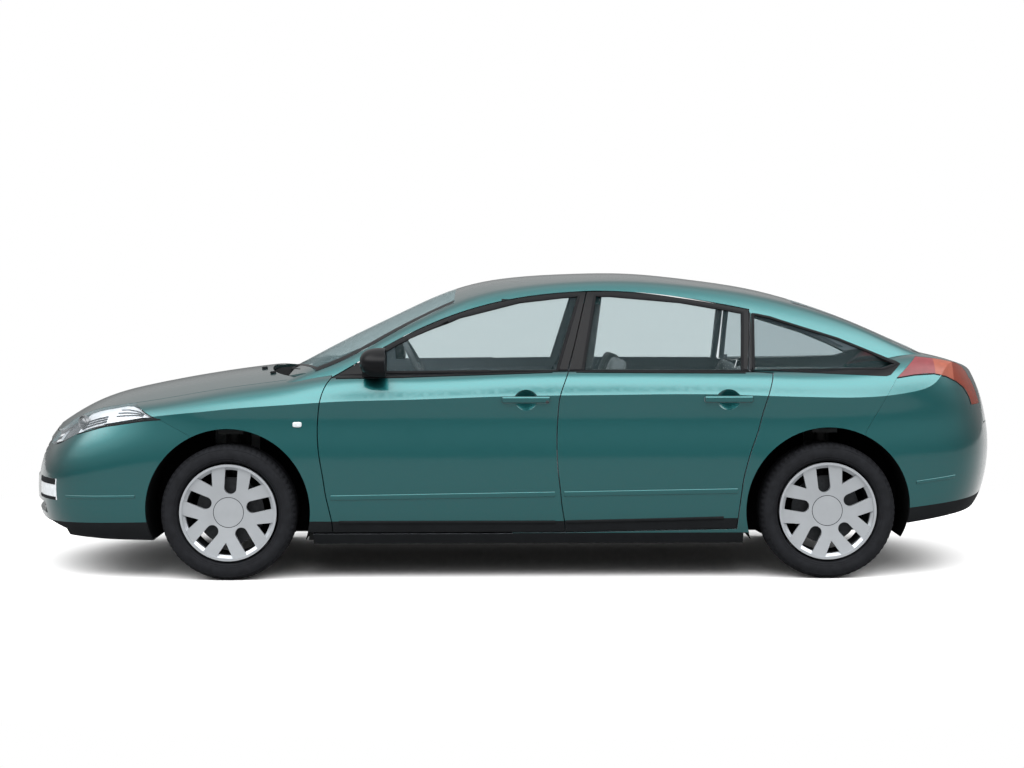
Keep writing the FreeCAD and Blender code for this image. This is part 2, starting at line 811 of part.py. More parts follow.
def nose_cut():
    """All that the front bumper covers, seen from the side: ahead of the arch and below the lamps."""
    low = from_shares(headlamp_low_shares)
    arch_top = from_shares([bumper_arch_share])[0]
    runs = [low, [low[-1], arch_top], [arch_top, (arch_top[0], 0)], [(arch_top[0], 0), (-length, 0)],
            [(-length, 0), (-length, low[0][1])], [(-length, low[0][1]), low[0]]]
    return runs


def wing_runs():
    """All that the front wing may cover, seen from the side."""
    lead = from_shares(front_lead_shares)
    foot = lead[-1]
    return [lead, [foot, (-length / 2, foot[1])], [(-length / 2, foot[1]), (-length / 2, height)],
            [(-length / 2, height), (lead[0][0], height)], [(lead[0][0], height), lead[0]]]


def make_front_wing():
    """The left front wing, from the bumper to the door."""
    stock = left_half(body_outer.cut(body_skin))
    stock = stock.common(side_prism(grown(wing_runs(), -panel_gap / 2), -far, 0))
    stock = stock.cut(side_prism(grown(nose_cut(), trim_gap / 2), -far, 0))
    stock = stock.cut(side_prism(grown(headlamp_runs(), trim_gap / 2), -far, 0))
    stock = stock.cut(plan_prism(grown(bonnet_runs(), panel_gap / 2), lid_cut_z, height))
    stock = stock.cut(plan_prism(grown(screen_runs(), panel_gap), lid_cut_z, height))
    stock = stock.cut(plan_prism(grown(cowl_runs(), panel_gap / 2), lid_cut_z, height))
    foot = cabin_outer.common(box(-length * pillar_foot_share, 0, -far, 0, 0, height))
    return stock.cut(foot).cut(arch_drum(front_axle_x, wheel_arch_radius))


def make_cowl():
    """The dark panel between the bonnet and the windscreen, below both."""
    layer = upper_solid(0, cowl_sink).cut(upper_solid(0, cowl_sink + cowl_wall))
    return layer.common(plan_prism(grown(cowl_runs(), -panel_gap / 2), lid_cut_z, height))


def rear_bumper_runs():
    """All that the rear bumper covers, seen from the side."""
    low = from_shares(tail_lamp_low_shares)
    arch_top = from_shares([rear_bumper_arch_share])[0]
    back = (length, low[-1][1])
    return [low, [low[-1], back], [back, (length, 0)], [(length, 0), (arch_top[0], 0)],
            [(arch_top[0], 0), arch_top], [arch_top, low[0]]]


def bumper_low_cut(low_shares):
    """The underside of a bumper, seen from the side: what is cut away below it."""
    line = from_shares(low_shares)
    first, last = line[0], line[-1]
    corners = line + [(last[0], -height), (first[0], -height)]
    return side_prism([[a, b] for a, b in zip(corners, corners[1:] + corners[:1])], -far, far)


def make_front_bumper():
    """The front bumper cover with its grille and intake openings, up to the bonnet between the lamps."""
    shell = body_outer.cut(body_skin)
    reach = headlamp_inner - trim_gap
    lamp_low = height * headlamp_front_shares[-1][1]
    brow = shell.common(box(-length, -length / 2 + nose_depth / 2, -reach, reach, lamp_low - overlap, height))
    brow = brow.cut(plan_prism(grown(bonnet_runs(), panel_gap / 2), lid_cut_z, height))
    stock = shell.common(side_prism(grown(nose_cut(), -trim_gap / 2), -far, far)).fuse(brow)
    for side in (-1, 1):
        arch = drum(wheel_arch_radius, far, vec(front_axle_x, side * far, arch_z))
        stock = stock.cut(arch)
    nose = -length / 2
    depth = nose + nose_depth / 2
    stock = stock.cut(box(nose - overrun, depth, -grille_half, grille_half, grille_low, grille_high))
    stock = stock.cut(box(nose - overrun, depth, -intake_half, intake_half, intake_low, intake_high))
    stock = stock.cut(both_sides(box(-length, nose + nose_depth, -fog_out, -fog_in, fog_low, fog_high)))
    return stock.cut(bumper_low_cut(front_lip_shares)).removeSplitter()


def make_fog_lamp():
    """The left fog lamp, flush with the bumper's corner."""
    stock = body_outer.cut(body_solid(fog_depth, fog_depth))
    return stock.common(box(-length, -length / 2 + nose_depth, trim_gap - fog_out, -trim_gap - fog_in,
                            fog_low + trim_gap, fog_high - trim_gap))


def make_rear_bumper():
    """The rear bumper cover, which reaches up to the lamps."""
    stock = body_outer.cut(body_skin)
    stock = stock.common(side_prism(grown(rear_bumper_runs(), -trim_gap / 2), -far, far))
    for side in (-1, 1):
        arch = drum(wheel_arch_radius, far, vec(rear_axle_x, side * far, arch_z))
        stock = stock.cut(arch)
    stock = stock.cut(plan_prism(grown(boot_runs(), panel_gap / 2), boot_lid_low - panel_gap, height))
    return stock.cut(bumper_low_cut(rear_lip_shares))


def make_grille():
    """The grille: level bars that follow the nose, with an upright at each end."""
    nose = -length / 2
    band = lower_hull(grille_sink).cut(lower_hull(grille_sink + skin_wall))
    reach = grille_half - seat_gap
    depth = nose + nose_depth / 2
    openings = []
    pitch = (grille_high - grille_low - bar_wide) / grille_bars
    for i in range(grille_bars):
        z = grille_low + bar_wide + pitch * i
        openings.append(box(nose - overrun, depth, bar_wide - reach, reach - bar_wide, z, z + pitch - bar_wide))
    whole = band.common(box(nose, depth, -reach, reach, grille_low + seat_gap, grille_high - seat_gap))
    return whole.cut(Part.makeCompound(openings))


def make_headlamp():
    """One headlamp, round the left corner of the nose."""
    stock = body_outer.cut(body_solid(lamp_depth, lamp_depth))
    stock = stock.common(side_prism(grown(headlamp_runs(), -trim_gap / 2), -far, -headlamp_inner))
    return stock.cut(plan_prism(grown(bonnet_runs(), panel_gap / 2), lid_cut_z, height))


def make_tail_lamp():
    """One tail lamp, round the left corner of the tail."""
    stock = body_outer.cut(body_solid(lamp_depth, lamp_depth))
    stock = stock.common(side_prism(grown(tail_lamp_runs(), -trim_gap / 2), -far, 0))
    return stock.cut(plan_prism(grown(boot_runs(), panel_gap / 2), lid_cut_z, height))


def b_post_runs():
    """The outline of the upper middle pillar, seen from the side."""
    corners = from_shares(b_post_shares)
    return [[a, b] for a, b in zip(corners, corners[1:] + corners[:1])]


def door_pads(lead, split):
    """Hinge pads and latch strikers on the pillars, against the inner faces of the doors."""
    layer = lower_hull(door_wall + seat_gap).cut(lower_hull(door_wall + panel_gap + overlap))
    pads = []
    for x in (lead[0][0] - pad_wide / 3, split[0][0] + pad_wide / 2):
        for z in (pad_low, pad_high):
            pads.append(layer.common(box(x, x + pad_wide, -far, 0, z, z + pad_wide)))
    return pads


def side_shell(lead):
    """The outer skin of the left body side: roof rail, pillars and rear quarter, with the doors cut out."""
    rail = left_half(above(cabin_outer.cut(cabin_solid(rail_wall, rail_wall)), waist_z - door_wall))
    quarter = left_half(body_outer.cut(body_skin)).common(box(0, length, -far, 0, sill_top, height))
    sides = [(front_door_runs(), panel_gap), (rear_door_runs(), panel_gap), (quarter_light_runs(), 0),
             (tail_lamp_runs(), trim_gap), (rear_bumper_runs(), trim_gap)]
    plans = [(roof_runs(), seat_gap, waist_z), (screen_runs(), seat_gap, waist_z - door_wall),
             (back_light_runs(), seat_gap, waist_z), (boot_runs(), panel_gap, sill_top),
             (bonnet_runs(), panel_gap, sill_top)]
    outer = rail.fuse(quarter)
    for runs, gap in sides:
        outer = outer.cut(side_prism(grown(runs, gap / 2), -far, 0))
    for runs, gap, low in plans:
        outer = outer.cut(plan_prism(grown(runs, gap / 2), low, 2 * height))
    outer = outer.cut(body_outer.common(box(-length, lead[0][0], -far, 0, 0, 2 * height)))
    return outer.cut(left_half(body_skin)).cut(arch_drum(rear_axle_x, wheel_arch_radius))


def side_posts(lead, split):
    """The inner pillars that carry the left doors."""
    layer = lower_hull(door_wall + panel_gap).cut(lower_hull(door_wall + post_depth))
    layer = layer.common(upper_solid(0, panel_gap))
    out = -sill_in - seat_gap
    front_x = lead[0][0]
    split_x = split[0][0]
    foot_x = lead[3][0]
    frame = cabin_solid(frame_wall + panel_gap, frame_wall + panel_gap).cut(cabin_solid(rail_wall, rail_wall))
    return [
        layer.common(box(front_x - post_wide, front_x + post_wide / 3, -far, out, sill_low, post_top)),
        layer.common(box(split_x - post_wide / 4, split_x + post_wide, -far, out, sill_low, post_shelf_z)),
        body_skin.common(box(foot_x - 2 * post_wide, foot_x - panel_gap, -far, out, hinge_post_low, height)),
        frame.common(side_prism(b_post_runs(), -far, -half_width * inner_reach_share)),
    ]


def make_body_side():
    """The left body side: sill, pillars, roof rail and rear quarter in one."""
    lead = from_shares(front_lead_shares)
    split = from_shares(door_split_shares)
    sill = body_outer.common(box(lead[0][0] - post_wide, rear_axle_x - wheel_arch_radius - overlap,
                                 -far, -sill_in, sill_low, sill_top))
    liner_out = wheel_arch_radius + liner_wall + seat_gap
    arches = [arch_drum(axle_x, liner_out) for axle_x in (front_axle_x, rear_axle_x)]
    lids = [plan_prism(grown(bonnet_runs(), panel_gap), sill_top, height),
            plan_prism(grown(cowl_runs(), panel_gap / 2), sill_top, height)]
    posts = [post.cut(arches + lids) for post in side_posts(lead, split)]
    return largest(joined([side_shell(lead), sill.cut(arches)] + posts + door_pads(lead, split)))


# Wheels and suspension

def at_wheel(shape, axle_x, half_track, side):
    """A piece made at the origin, outward to -Y, set at one wheel."""
    if side > 0:
        shape = mirrored(shape)
    moved = shape.copy()
    moved.translate(vec(axle_x, side * half_track, tyre_radius))
    return moved


def make_tyre():
    """A tyre: a bulged ring round the rim."""
    half = tyre_wide / 2
    bead = rim_radius - bead_sink
    profile = [
        vec(0, -rim_wide / 2 + bead_wide, bead), vec(0, -rim_wide / 2, bead),
        vec(0, -half, (bead + tyre_radius) / 2), vec(0, -half + shoulder, tyre_radius - shoulder / 2),
        vec(0, -half + 2 * shoulder, tyre_radius), vec(0, half - 2 * shoulder, tyre_radius),
        vec(0, half - shoulder, tyre_radius - shoulder / 2), vec(0, half, (bead + tyre_radius) / 2),
        vec(0, rim_wide / 2, bead), vec(0, rim_wide / 2 - bead_wide, bead),
    ]
    wire = Part.makePolygon(profile + profile[:1])
    return Part.Face(wire).revolve(vec(0, 0, 0), vec(0, 1, 0), 360)


def slot_tool(centre_radius_in, centre_radius_out, wide, angle):
    """The space between the two spokes of a pair: round inside, open towards the lip."""
    straight = box(-wide / 2, wide / 2, -tyre_wide, tyre_wide, centre_radius_in + wide / 2, centre_radius_out)
    end = drum(wide / 2, 2 * tyre_wide, vec(0, 0, centre_radius_in + wide / 2))
    tool = straight.fuse(end)
    tool.rotate(vec(0, 0, 0), vec(0, 1, 0), angle)
    return tool


def window_tool(apex, base, wide, angle):
    """The three-cornered space between two pairs of spokes."""
    points = [vec(0, -tyre_wide, apex), vec(wide / 2, -tyre_wide, base), vec(-wide / 2, -tyre_wide, base)]
    face = Part.Face(Part.makePolygon(points + points[:1]))
    tool = face.extrude(vec(0, 2 * tyre_wide, 0))
    tool.rotate(vec(0, 0, 0), vec(0, 1, 0), angle)
    return tool


def make_rim(turn):
    """A cast rim with five double spokes, its barrel, hub and brake disc."""
    half = rim_wide / 2
    barrel = [
        vec(0, -half, rim_radius - bead_sink - seat_gap), vec(0, -half, lip_inner),
        vec(0, -half + barrel_wall, lip_inner), vec(0, -half + 2 * barrel_wall, barrel_inner),
        vec(0, half, barrel_inner), vec(0, half, rim_radius - bead_sink - seat_gap),
    ]
    ring = Part.Face(Part.makePolygon(barrel + barrel[:1])).revolve(vec(0, 0, 0), vec(0, 1, 0), 360)
    dish = [
        vec(0, -half + dish_sink, 0), vec(0, -half + dish_sink, cap_radius),
        vec(0, -half + lip_sink, lip_inner + barrel_wall / 2),
        vec(0, -half + lip_sink + spoke_deep / 2, lip_inner + barrel_wall / 2),
        vec(0, -half + dish_sink + spoke_deep, hub_radius), vec(0, -half + dish_sink + spoke_deep, 0),
    ]
    face = Part.Face(Part.makePolygon(dish + dish[:1])).revolve(vec(0, 0, 0), vec(0, 1, 0), 360)
    step = 360 / spoke_pairs
    tools = []
    for i in range(spoke_pairs):
        tools.append(slot_tool(slot_inner, slot_outer, slot_wide, turn + step * i))
        tools.append(window_tool(window_apex, slot_outer, window_wide, turn + step * (i + 0.5)))
    face = face.cut(tools)
    hub = drum(hub_radius, hub_long, vec(0, -half + dish_sink + spoke_deep + hub_long / 2 - seat_gap, 0))
    disc_y = -half + dish_sink + spoke_deep + hub_long - seat_gap
    disc = drum(disc_radius, disc_wide, vec(0, disc_y + disc_wide / 2 - seat_gap, 0))
    return joined([ring, face, hub, disc])


def disc_inner_y():
    """Where the inner face of the brake disc lies, from the wheel's centre."""
    return -rim_wide / 2 + dish_sink + spoke_deep + hub_long + disc_wide - 2 * seat_gap


def make_knuckle():
    """A front upright with its hub carrier, kingpin bosses and brake caliper, outward to -Y."""
    inner = disc_inner_y() + seat_gap
    carrier = drum(carrier_radius, carrier_long, vec(0, inner + carrier_long / 2, 0))
    post = box(-kingpin_radius, kingpin_radius, kingpin_in - kingpin_radius, kingpin_in + kingpin_radius,
               -post_reach, post_reach)
    caliper = box(caliper_in, caliper_out, inner, inner + caliper_wide, -caliper_tall / 2, caliper_tall / 2)
    arm = box(0, caliper_out, inner, inner + caliper_wide, -kingpin_radius, kingpin_radius)
    return joined([carrier, post, caliper, arm])


def make_suspension(axle_x, half_track, upper):
    """One axle's crossmember with its arms and springs."""
    pieces = [box(axle_x - beam_wide, axle_x + beam_wide, -beam_half, beam_half, beam_low, beam_high)]
    arm_end = half_track - kingpin_in + kingpin_radius
    levels = [tyre_radius - post_reach - seat_gap - arm_thick]
    if upper:
        levels.append(tyre_radius + post_reach + seat_gap)
    for side in (-1, 1):
        bracket = sorted((side * (rail_y - rail_wide), side * beam_half))
        pieces.append(box(axle_x - beam_wide, axle_x + beam_wide, bracket[0], bracket[1], beam_low, rail_low))
        if upper:
            link = sorted((side * (rail_y + seat_gap), side * (rail_y + arm_thick)))
            pieces.append(box(axle_x - arm_thick, axle_x + arm_thick, link[0], link[1],
                              levels[0], levels[1] + arm_thick))
        for low in levels:
            inner = beam_half - arm_thick if low < rail_low - arm_thick else rail_y + seat_gap
            ends = sorted((side * inner, side * arm_end))
            pieces.append(box(axle_x - arm_thick, axle_x + arm_thick, ends[0], ends[1], low, low + arm_thick))
        foot = vec(axle_x, side * strut_y, levels[0])
        pieces.append(Part.makeCylinder(strut_radius, strut_top - levels[0], foot))
    return pieces


def make_front_suspension():
    """The front axle: crossmember, two arms a side and the struts, which hold the kingpins."""
    return joined(make_suspension(front_axle_x, front_track / 2, True))


def make_rear_suspension():
    """The rear axle: crossmember, arms, struts and the fixed hub carriers."""
    pieces = make_suspension(rear_axle_x, rear_track / 2, False)
    for side in (-1, 1):
        hub = at_wheel(make_knuckle(), rear_axle_x, rear_track / 2, side)
        arm_z = tyre_radius - post_reach - seat_gap - arm_thick
        y = side * (rear_track / 2 - kingpin_in)
        joint = box(rear_axle_x - kingpin_radius, rear_axle_x + kingpin_radius,
                    y - kingpin_radius, y + kingpin_radius, arm_z, tyre_radius)
        pieces += [hub, joint]
    return joined(pieces)


# Inside and underneath

def wheel_room(axle_x):
    """The round spaces over both wheels of an axle, out from the rails, with room for their liners."""
    radius = wheel_arch_radius + liner_wall + seat_gap
    return both_sides(drum(radius, far, vec(axle_x, -rail_y - far / 2, arch_z)))


def towers(axle_x):
    """The strut towers that stand on both rails at an axle."""
    pieces = []
    reach = strut_radius * 2
    top_z = strut_top + floor_thick / 2
    for side in (-1, 1):
        rail = sorted((side * (rail_y - rail_wide), side * rail_y))
        top = sorted((side * (rail_y - rail_wide), side * tower_out))
        pieces.append(box(axle_x - reach, axle_x + reach, top[0], top[1], strut_top, top_z))
        pieces.append(box(axle_x - reach, axle_x + reach, rail[0], rail[1], rail_low, top_z))
    return pieces


def rails(start_x, end_x, top_z):
    """A pair of level rails along the car."""
    return both_sides(box(start_x, end_x, -rail_y, rail_wide - rail_y, rail_low, top_z))


def make_floor():
    """The cabin floor with the bulkhead in front and the step up to the boot behind."""
    bulkhead = box(bulkhead_x - floor_thick, bulkhead_x, -sill_in, sill_in, sill_low, bulkhead_z)
    bulkhead = bulkhead.cut(wheel_room(front_axle_x))
    cowl_rest = box(bulkhead_x - floor_thick, bulkhead_x, -cowl_rest_half, cowl_rest_half,
                    bulkhead_z - overlap, height)
    cowl_rest = cowl_rest.common(upper_solid(0, cowl_sink + cowl_wall + seat_gap))
    return joined([
        box(bulkhead_x, arch_front_x, -sill_in, sill_in, sill_low, sill_low + floor_thick),
        box(arch_front_x - floor_thick, arch_front_x, -sill_in, sill_in, sill_low, boot_floor_z),
        bulkhead, cowl_rest,
    ])


def make_front_frame():
    """The rails, strut towers and nose beam ahead of the bulkhead, with the rests of the bonnet."""
    pieces = rails(rail_nose_x, bulkhead_x - floor_thick, rail_low + rail_wide) + towers(front_axle_x)
    pieces.append(box(-length / 2, rail_nose_x, -nose_beam_half, nose_beam_half,
                      rail_low, rail_low + rail_wide))
    rest = Part.makeCylinder(pad_wide / 2, height, vec(front_axle_x, rail_wide / 2 - rail_y, rail_low))
    pieces += both_sides(rest)
    return joined(pieces).common(lower_hull(lid_seat)).common(upper_solid(0, bonnet_wall + seat_gap))


def make_boot_floor():
    """The boot's floor and walls with the rear rails, strut towers and parcel shelf."""
    shelf_half = half_width * shelf_share
    floor_top = boot_floor_z + floor_thick
    pieces = rails(arch_front_x, boot_end_x, floor_top) + towers(rear_axle_x)
    pieces += [
        box(arch_front_x - floor_thick, boot_end_x, -rail_y, rail_y, boot_floor_z, floor_top),
        box(rear_wall_x, rear_wall_x + floor_thick / 2, -rail_y, rail_y, boot_floor_z, shelf_z),
        box(rear_wall_x, shelf_end_x, -shelf_half, shelf_half, shelf_z - floor_thick / 2, shelf_z),
        box(tail_wall_x - floor_thick, tail_wall_x, -rail_y, rail_y, boot_floor_z, tail_wall_z),
        box(tail_wall_x - floor_thick, length / 2, -latch_half, latch_half, tail_wall_z - floor_thick, latch_z),
    ]
    return joined(pieces).common(lower_hull(lid_seat))


def make_engine():
    """The engine and gearbox as one plain block."""
    return box(engine_x, engine_x + engine_long, -engine_wide / 2, engine_wide / 2,
               engine_low, engine_low + engine_tall)


def make_dashboard():
    """The dashboard across the cabin, under the windscreen."""
    profile = [(bulkhead_x + seat_gap, dash_low), (dash_x, dash_low), (dash_x + dash_lip, dash_mid),
               (dash_x, dash_high), (bulkhead_x + seat_gap, dash_high)]
    runs = [[a, b] for a, b in zip(profile, profile[1:] + profile[:1])]
    return side_prism(runs, -dash_half, dash_half)


def column_place(shape):
    """A piece made round the steering column's axis, set in front of the driver."""
    shape.rotate(vec(0, 0, 0), vec(0, 1, 0), -column_rise - 90)
    shape.translate(vec(steering_x, -seat_y, steering_z))
    return shape


def make_steering_wheel():
    """The steering wheel on its column, on the left."""
    ring = Part.makeTorus(wheel_ring, wheel_ring_thick)
    hub = Part.makeCylinder(wheel_ring / 3, wheel_ring_thick * 2, vec(0, 0, -wheel_ring_thick))
    bar = box(-wheel_ring, wheel_ring, -wheel_ring_thick, wheel_ring_thick,
              -wheel_ring_thick / 2, wheel_ring_thick / 2)
    column = Part.makeCylinder(column_radius, column_long, vec(0, 0, 0))
    return column_place(joined([ring, hub, bar, column])).cut(make_dashboard())


def make_seat(x, y, wide):
    """One seat with its back and head rest."""
    base_z = sill_low + floor_thick + seat_gap
    cushion = box(x, x + cushion_long, y - wide / 2, y + wide / 2, base_z, base_z + cushion_tall)
    back = box(0, back_thick, -wide / 2, wide / 2, 0, back_tall)
    back.rotate(vec(0, 0, 0), vec(0, 1, 0), back_lean)
    back.translate(vec(x + cushion_long - back_thick, y, base_z + cushion_tall / 2))
    head = box(0, head_thick, -head_wide / 2, head_wide / 2, back_tall - overlap, back_tall + head_tall)
    head.rotate(vec(0, 0, 0), vec(0, 1, 0), back_lean)
    head.translate(vec(x + cushion_long - back_thick, y, base_z + cushion_tall / 2))
    return joined([cushion, back, head])


def make_liner(axle_x):
    """The liner of one left wheel arch: a round roof and a back wall with a slot for the suspension."""
    outer_y = -half_width + skin_wall + liner_wall
    inner_y = -rail_y - panel_gap
    outside = wheel_arch_radius + liner_wall
    middle = vec(axle_x, (inner_y + outer_y) / 2, arch_z)
    roof = drum(outside, inner_y - outer_y, middle).cut(drum(wheel_arch_radius, far, middle))
    wall = drum(outside, liner_wall, vec(axle_x, inner_y - liner_wall / 2, arch_z))
    wall = wall.cut(box(axle_x - liner_slot, axle_x + liner_slot, -far, 0, 0, arch_z + outside - pad_wide / 4))
    room = liner_room.common(box(axle_x - far, axle_x + far, -far, 0, liner_low, height))
    return roof.common(room).fuse(wall.common(room))


def make_exhaust():
    """The exhaust pipe under the floor, over the rear axle and into its silencer."""
    low_z = sill_low - exhaust_radius - seat_gap
    corners = [vec(exhaust_start_x, 0, low_z), vec(exhaust_rise_x, 0, low_z),
               vec(exhaust_top_x, 0, exhaust_high_z), vec(silencer_x, 0, exhaust_high_z)]
    pieces = [Part.makeCylinder(silencer_radius, silencer_long, corners[-1], vec(1, 0, 0))]
    for a, b in zip(corners, corners[1:]):
        pieces.append(Part.makeCylinder(exhaust_radius, a.distanceToPoint(b), a, b - a))
        pieces.append(Part.makeSphere(exhaust_radius, b))
    return joined(pieces)


def oval(centre, half_y, half_z):
    """A level upright oval that faces along the car."""
    edge = Part.Ellipse(centre + vec(0, half_y, 0), centre + vec(0, 0, half_z), centre).toShape()
    return Part.Wire(edge)


def make_mirror():
    """The left door mirror: a rounded shell with a sunk flat glass side, on an arm from the door."""
    middle_y = mirror_wide - mirror_out
    rings = []
    for along, share in mirror_ring_shares:
        centre = vec(mirror_x + mirror_long * along, middle_y, mirror_z)
        rings.append(oval(centre, mirror_wide * share, mirror_tall * share))
    shell = Part.makeLoft(rings, True)
    glass_x = mirror_x + mirror_long - mirror_rim / 2
    glass = oval(vec(glass_x, middle_y, mirror_z), mirror_wide - mirror_rim, mirror_tall - mirror_rim)
    shell = shell.cut(Part.Face(glass).extrude(vec(mirror_rim, 0, 0)))
    arm = box(mirror_x + mirror_rim, mirror_x + mirror_long - mirror_rim, middle_y, 0,
              mirror_z - mirror_tall, mirror_z - mirror_tall / 2)
    return shell.fuse(arm).cut(cabin_solid(-seat_gap, 0)).cut(body_solid(-seat_gap, -seat_gap))


def save(name, shape):
    """Write one sub-part."""
    shape.exportStep(os.path.join("parts", name + ".step"))


def main():
    """Build every sub-part and write it."""
    os.makedirs("parts", exist_ok=True)
    front_trail = from_shares(door_split_shares) + from_shares(front_top_shares)[:1]
    rear_trail = from_shares(rear_trail_shares + [rear_step_share]) + from_shares(rear_top_shares)[:1]
    paired = {
        "front_door": with_handle(door(front_door_runs(), front_light_runs(), front_trail), front_handle),
        "rear_door": with_handle(door(rear_door_runs(), rear_light_runs(), rear_trail), rear_handle),
        "front_door_glass": door_glass(front_light_runs()),
        "rear_door_glass": door_glass(rear_light_runs()),
        "front_wing": make_front_wing(),
        "mirror": make_mirror(),
        "body_side": make_body_side(),
    }
    for name, piece in paired.items():
        save(name + "_left", piece)
        save(name + "_right", mirrored(piece))
    both = {
        "headlamps": make_headlamp(),
        "tail_lamps": make_tail_lamp(),
        "fog_lamps": make_fog_lamp(),
        "quarter_glasses": door_glass(quarter_light_runs()),
        "wheel_liners": apart([make_liner(front_axle_x), make_liner(rear_axle_x)]),
    }
    for name, piece in both.items():
        save(name, apart([piece, mirrored(piece)]))
    for name, make in (("bonnet", make_bonnet), ("boot_lid", make_boot_lid), ("roof_panel", make_roof),
                       ("front_bumper", make_front_bumper), ("rear_bumper", make_rear_bumper),
                       ("grille", make_grille), ("cowl_panel", make_cowl), ("floor_pan", make_floor),
                       ("front_frame", make_front_frame), ("boot_floor", make_boot_floor),
                       ("engine_block", make_engine), ("dashboard", make_dashboard),
                       ("steering_wheel", make_steering_wheel),
                       ("front_suspension", make_front_suspension), ("rear_suspension", make_rear_suspension),
                       ("exhaust", make_exhaust)):
        save(name, make())
    save("windscreen", make_screen(screen_runs()))
    save("rear_window", make_screen(back_light_runs()))
    seats = [make_seat(front_seat_x, side * seat_y, seat_wide) for side in (-1, 1)]
    save("front_seats", apart(seats))
    save("rear_seat", make_seat(rear_seat_x, 0, rear_seat_wide))
    ends = (("front", front_axle_x, front_track, front_turn), ("rear", rear_axle_x, rear_track, rear_turn))
    for end, axle_x, track, turn in ends:
        for side_name, side in (("left", -1), ("right", 1)):
            place = (axle_x, track / 2, side)
            save("%s_tyre_%s" % (end, side_name), at_wheel(make_tyre(), *place))
            save("%s_rim_%s" % (end, side_name), at_wheel(make_rim(turn), *place))
            if end == "front":
                save("front_knuckle_" + side_name, at_wheel(make_knuckle(), *place))


door_stock = left_half(body_outer.cut(body_inner))
frame_stock = left_half(above(cabin_outer.cut(cabin_frame), waist_z - door_wall))
pane_stock = left_half(above(cabin_solid(glass_inset, glass_inset).cut(
    cabin_solid(glass_inset + glass_wall, glass_inset + glass_wall)), waist_z - door_wall))
liner_room = body_solid(skin_wall + seat_gap, skin_wall + seat_gap)

main()
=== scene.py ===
"""A four-door saloon car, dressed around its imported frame.

The car faces -X, its left side is at -Y and it stands on z = 0. All sizes are in metres.
"""

import logging
import math
from dataclasses import dataclass, field
from enum import Enum
from typing import Any, Callable, Iterable, Optional, Sequence

import bmesh
import bpy
from mathutils import Matrix, Vector
from mathutils.bvhtree import BVHTree


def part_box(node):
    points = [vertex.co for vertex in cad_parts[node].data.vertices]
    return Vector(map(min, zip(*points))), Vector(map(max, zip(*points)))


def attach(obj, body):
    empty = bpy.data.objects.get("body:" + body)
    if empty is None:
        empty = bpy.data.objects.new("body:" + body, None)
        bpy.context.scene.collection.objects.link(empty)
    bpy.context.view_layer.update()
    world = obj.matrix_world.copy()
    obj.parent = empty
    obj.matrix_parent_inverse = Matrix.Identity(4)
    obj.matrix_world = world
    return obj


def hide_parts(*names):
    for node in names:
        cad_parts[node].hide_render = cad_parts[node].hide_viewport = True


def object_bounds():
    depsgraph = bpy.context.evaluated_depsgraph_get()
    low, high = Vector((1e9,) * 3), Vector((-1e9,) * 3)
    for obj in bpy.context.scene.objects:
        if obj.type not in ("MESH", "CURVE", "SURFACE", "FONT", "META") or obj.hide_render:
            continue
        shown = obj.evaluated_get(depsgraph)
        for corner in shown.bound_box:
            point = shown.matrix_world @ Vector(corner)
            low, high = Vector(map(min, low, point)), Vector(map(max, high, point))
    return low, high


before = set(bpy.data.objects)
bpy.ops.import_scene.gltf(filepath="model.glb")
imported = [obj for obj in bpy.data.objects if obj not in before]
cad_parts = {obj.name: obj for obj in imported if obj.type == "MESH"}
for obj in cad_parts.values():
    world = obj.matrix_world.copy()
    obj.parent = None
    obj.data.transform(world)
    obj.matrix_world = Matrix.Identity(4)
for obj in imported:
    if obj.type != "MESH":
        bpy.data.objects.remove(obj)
CAD_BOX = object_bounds()
WELD_DISTANCE = 1e-6
FOLD_ANGLE = 35.0
SOFT_FOLD_ANGLE = 60.0

log = logging.getLogger("saloon")

Colour = tuple[float, float, float]
Point = tuple[float, float]
Rows = list[list[Vector]]
Place = tuple[Vector, Vector]
Span = tuple[Vector, float, float]
Section = tuple[float, float, float]
Piece = bpy.types.Object
Tree = bpy.types.NodeTree
Socket = bpy.types.NodeSocket

LENGTH = 4.908
HEIGHT = 1.470
FRONT_AXLE_X = -1.374
REAR_AXLE_X = 1.526
WHEEL_Z = 0.328


class Hand(Enum):
    """The two sides of the car."""

    LEFT = "left"
    RIGHT = "right"

    @property
    def sign(self) -> int:
        """The sign of y on this side."""
        return -1 if self is Hand.LEFT else 1


class Probe(Enum):
    """The directions from which the body's surface is probed."""

    SIDE = "side"
    TOP = "top"
    NOSE = "nose"


class Axis(Enum):
    """The axes about which a body of revolution is turned."""

    X = "x"
    Y = "y"

    @property
    def directions(self) -> tuple[Vector, Vector, Vector]:
        """The two directions across the axis and the one along it."""
        across, along = Vector((1, 0, 0)), Vector((0, 1, 0))
        return (along, Vector((0, 0, 1)), across) if self is Axis.X else (across, Vector((0, 0, 1)), along)


def srgb(red: int, green: int, blue: int) -> Colour:
    """Turns a colour as seen on a screen into a linear one, by the screen's standard curve.

    Args:
        red: Red from 0 to 255.
        green: Green from 0 to 255.
        blue: Blue from 0 to 255.

    Returns:
        The linear colour.
    """
    return tuple(((v / 255 + 0.055) / 1.055) ** 2.4 if v > 10 else v / 3294.6 for v in (red, green, blue))


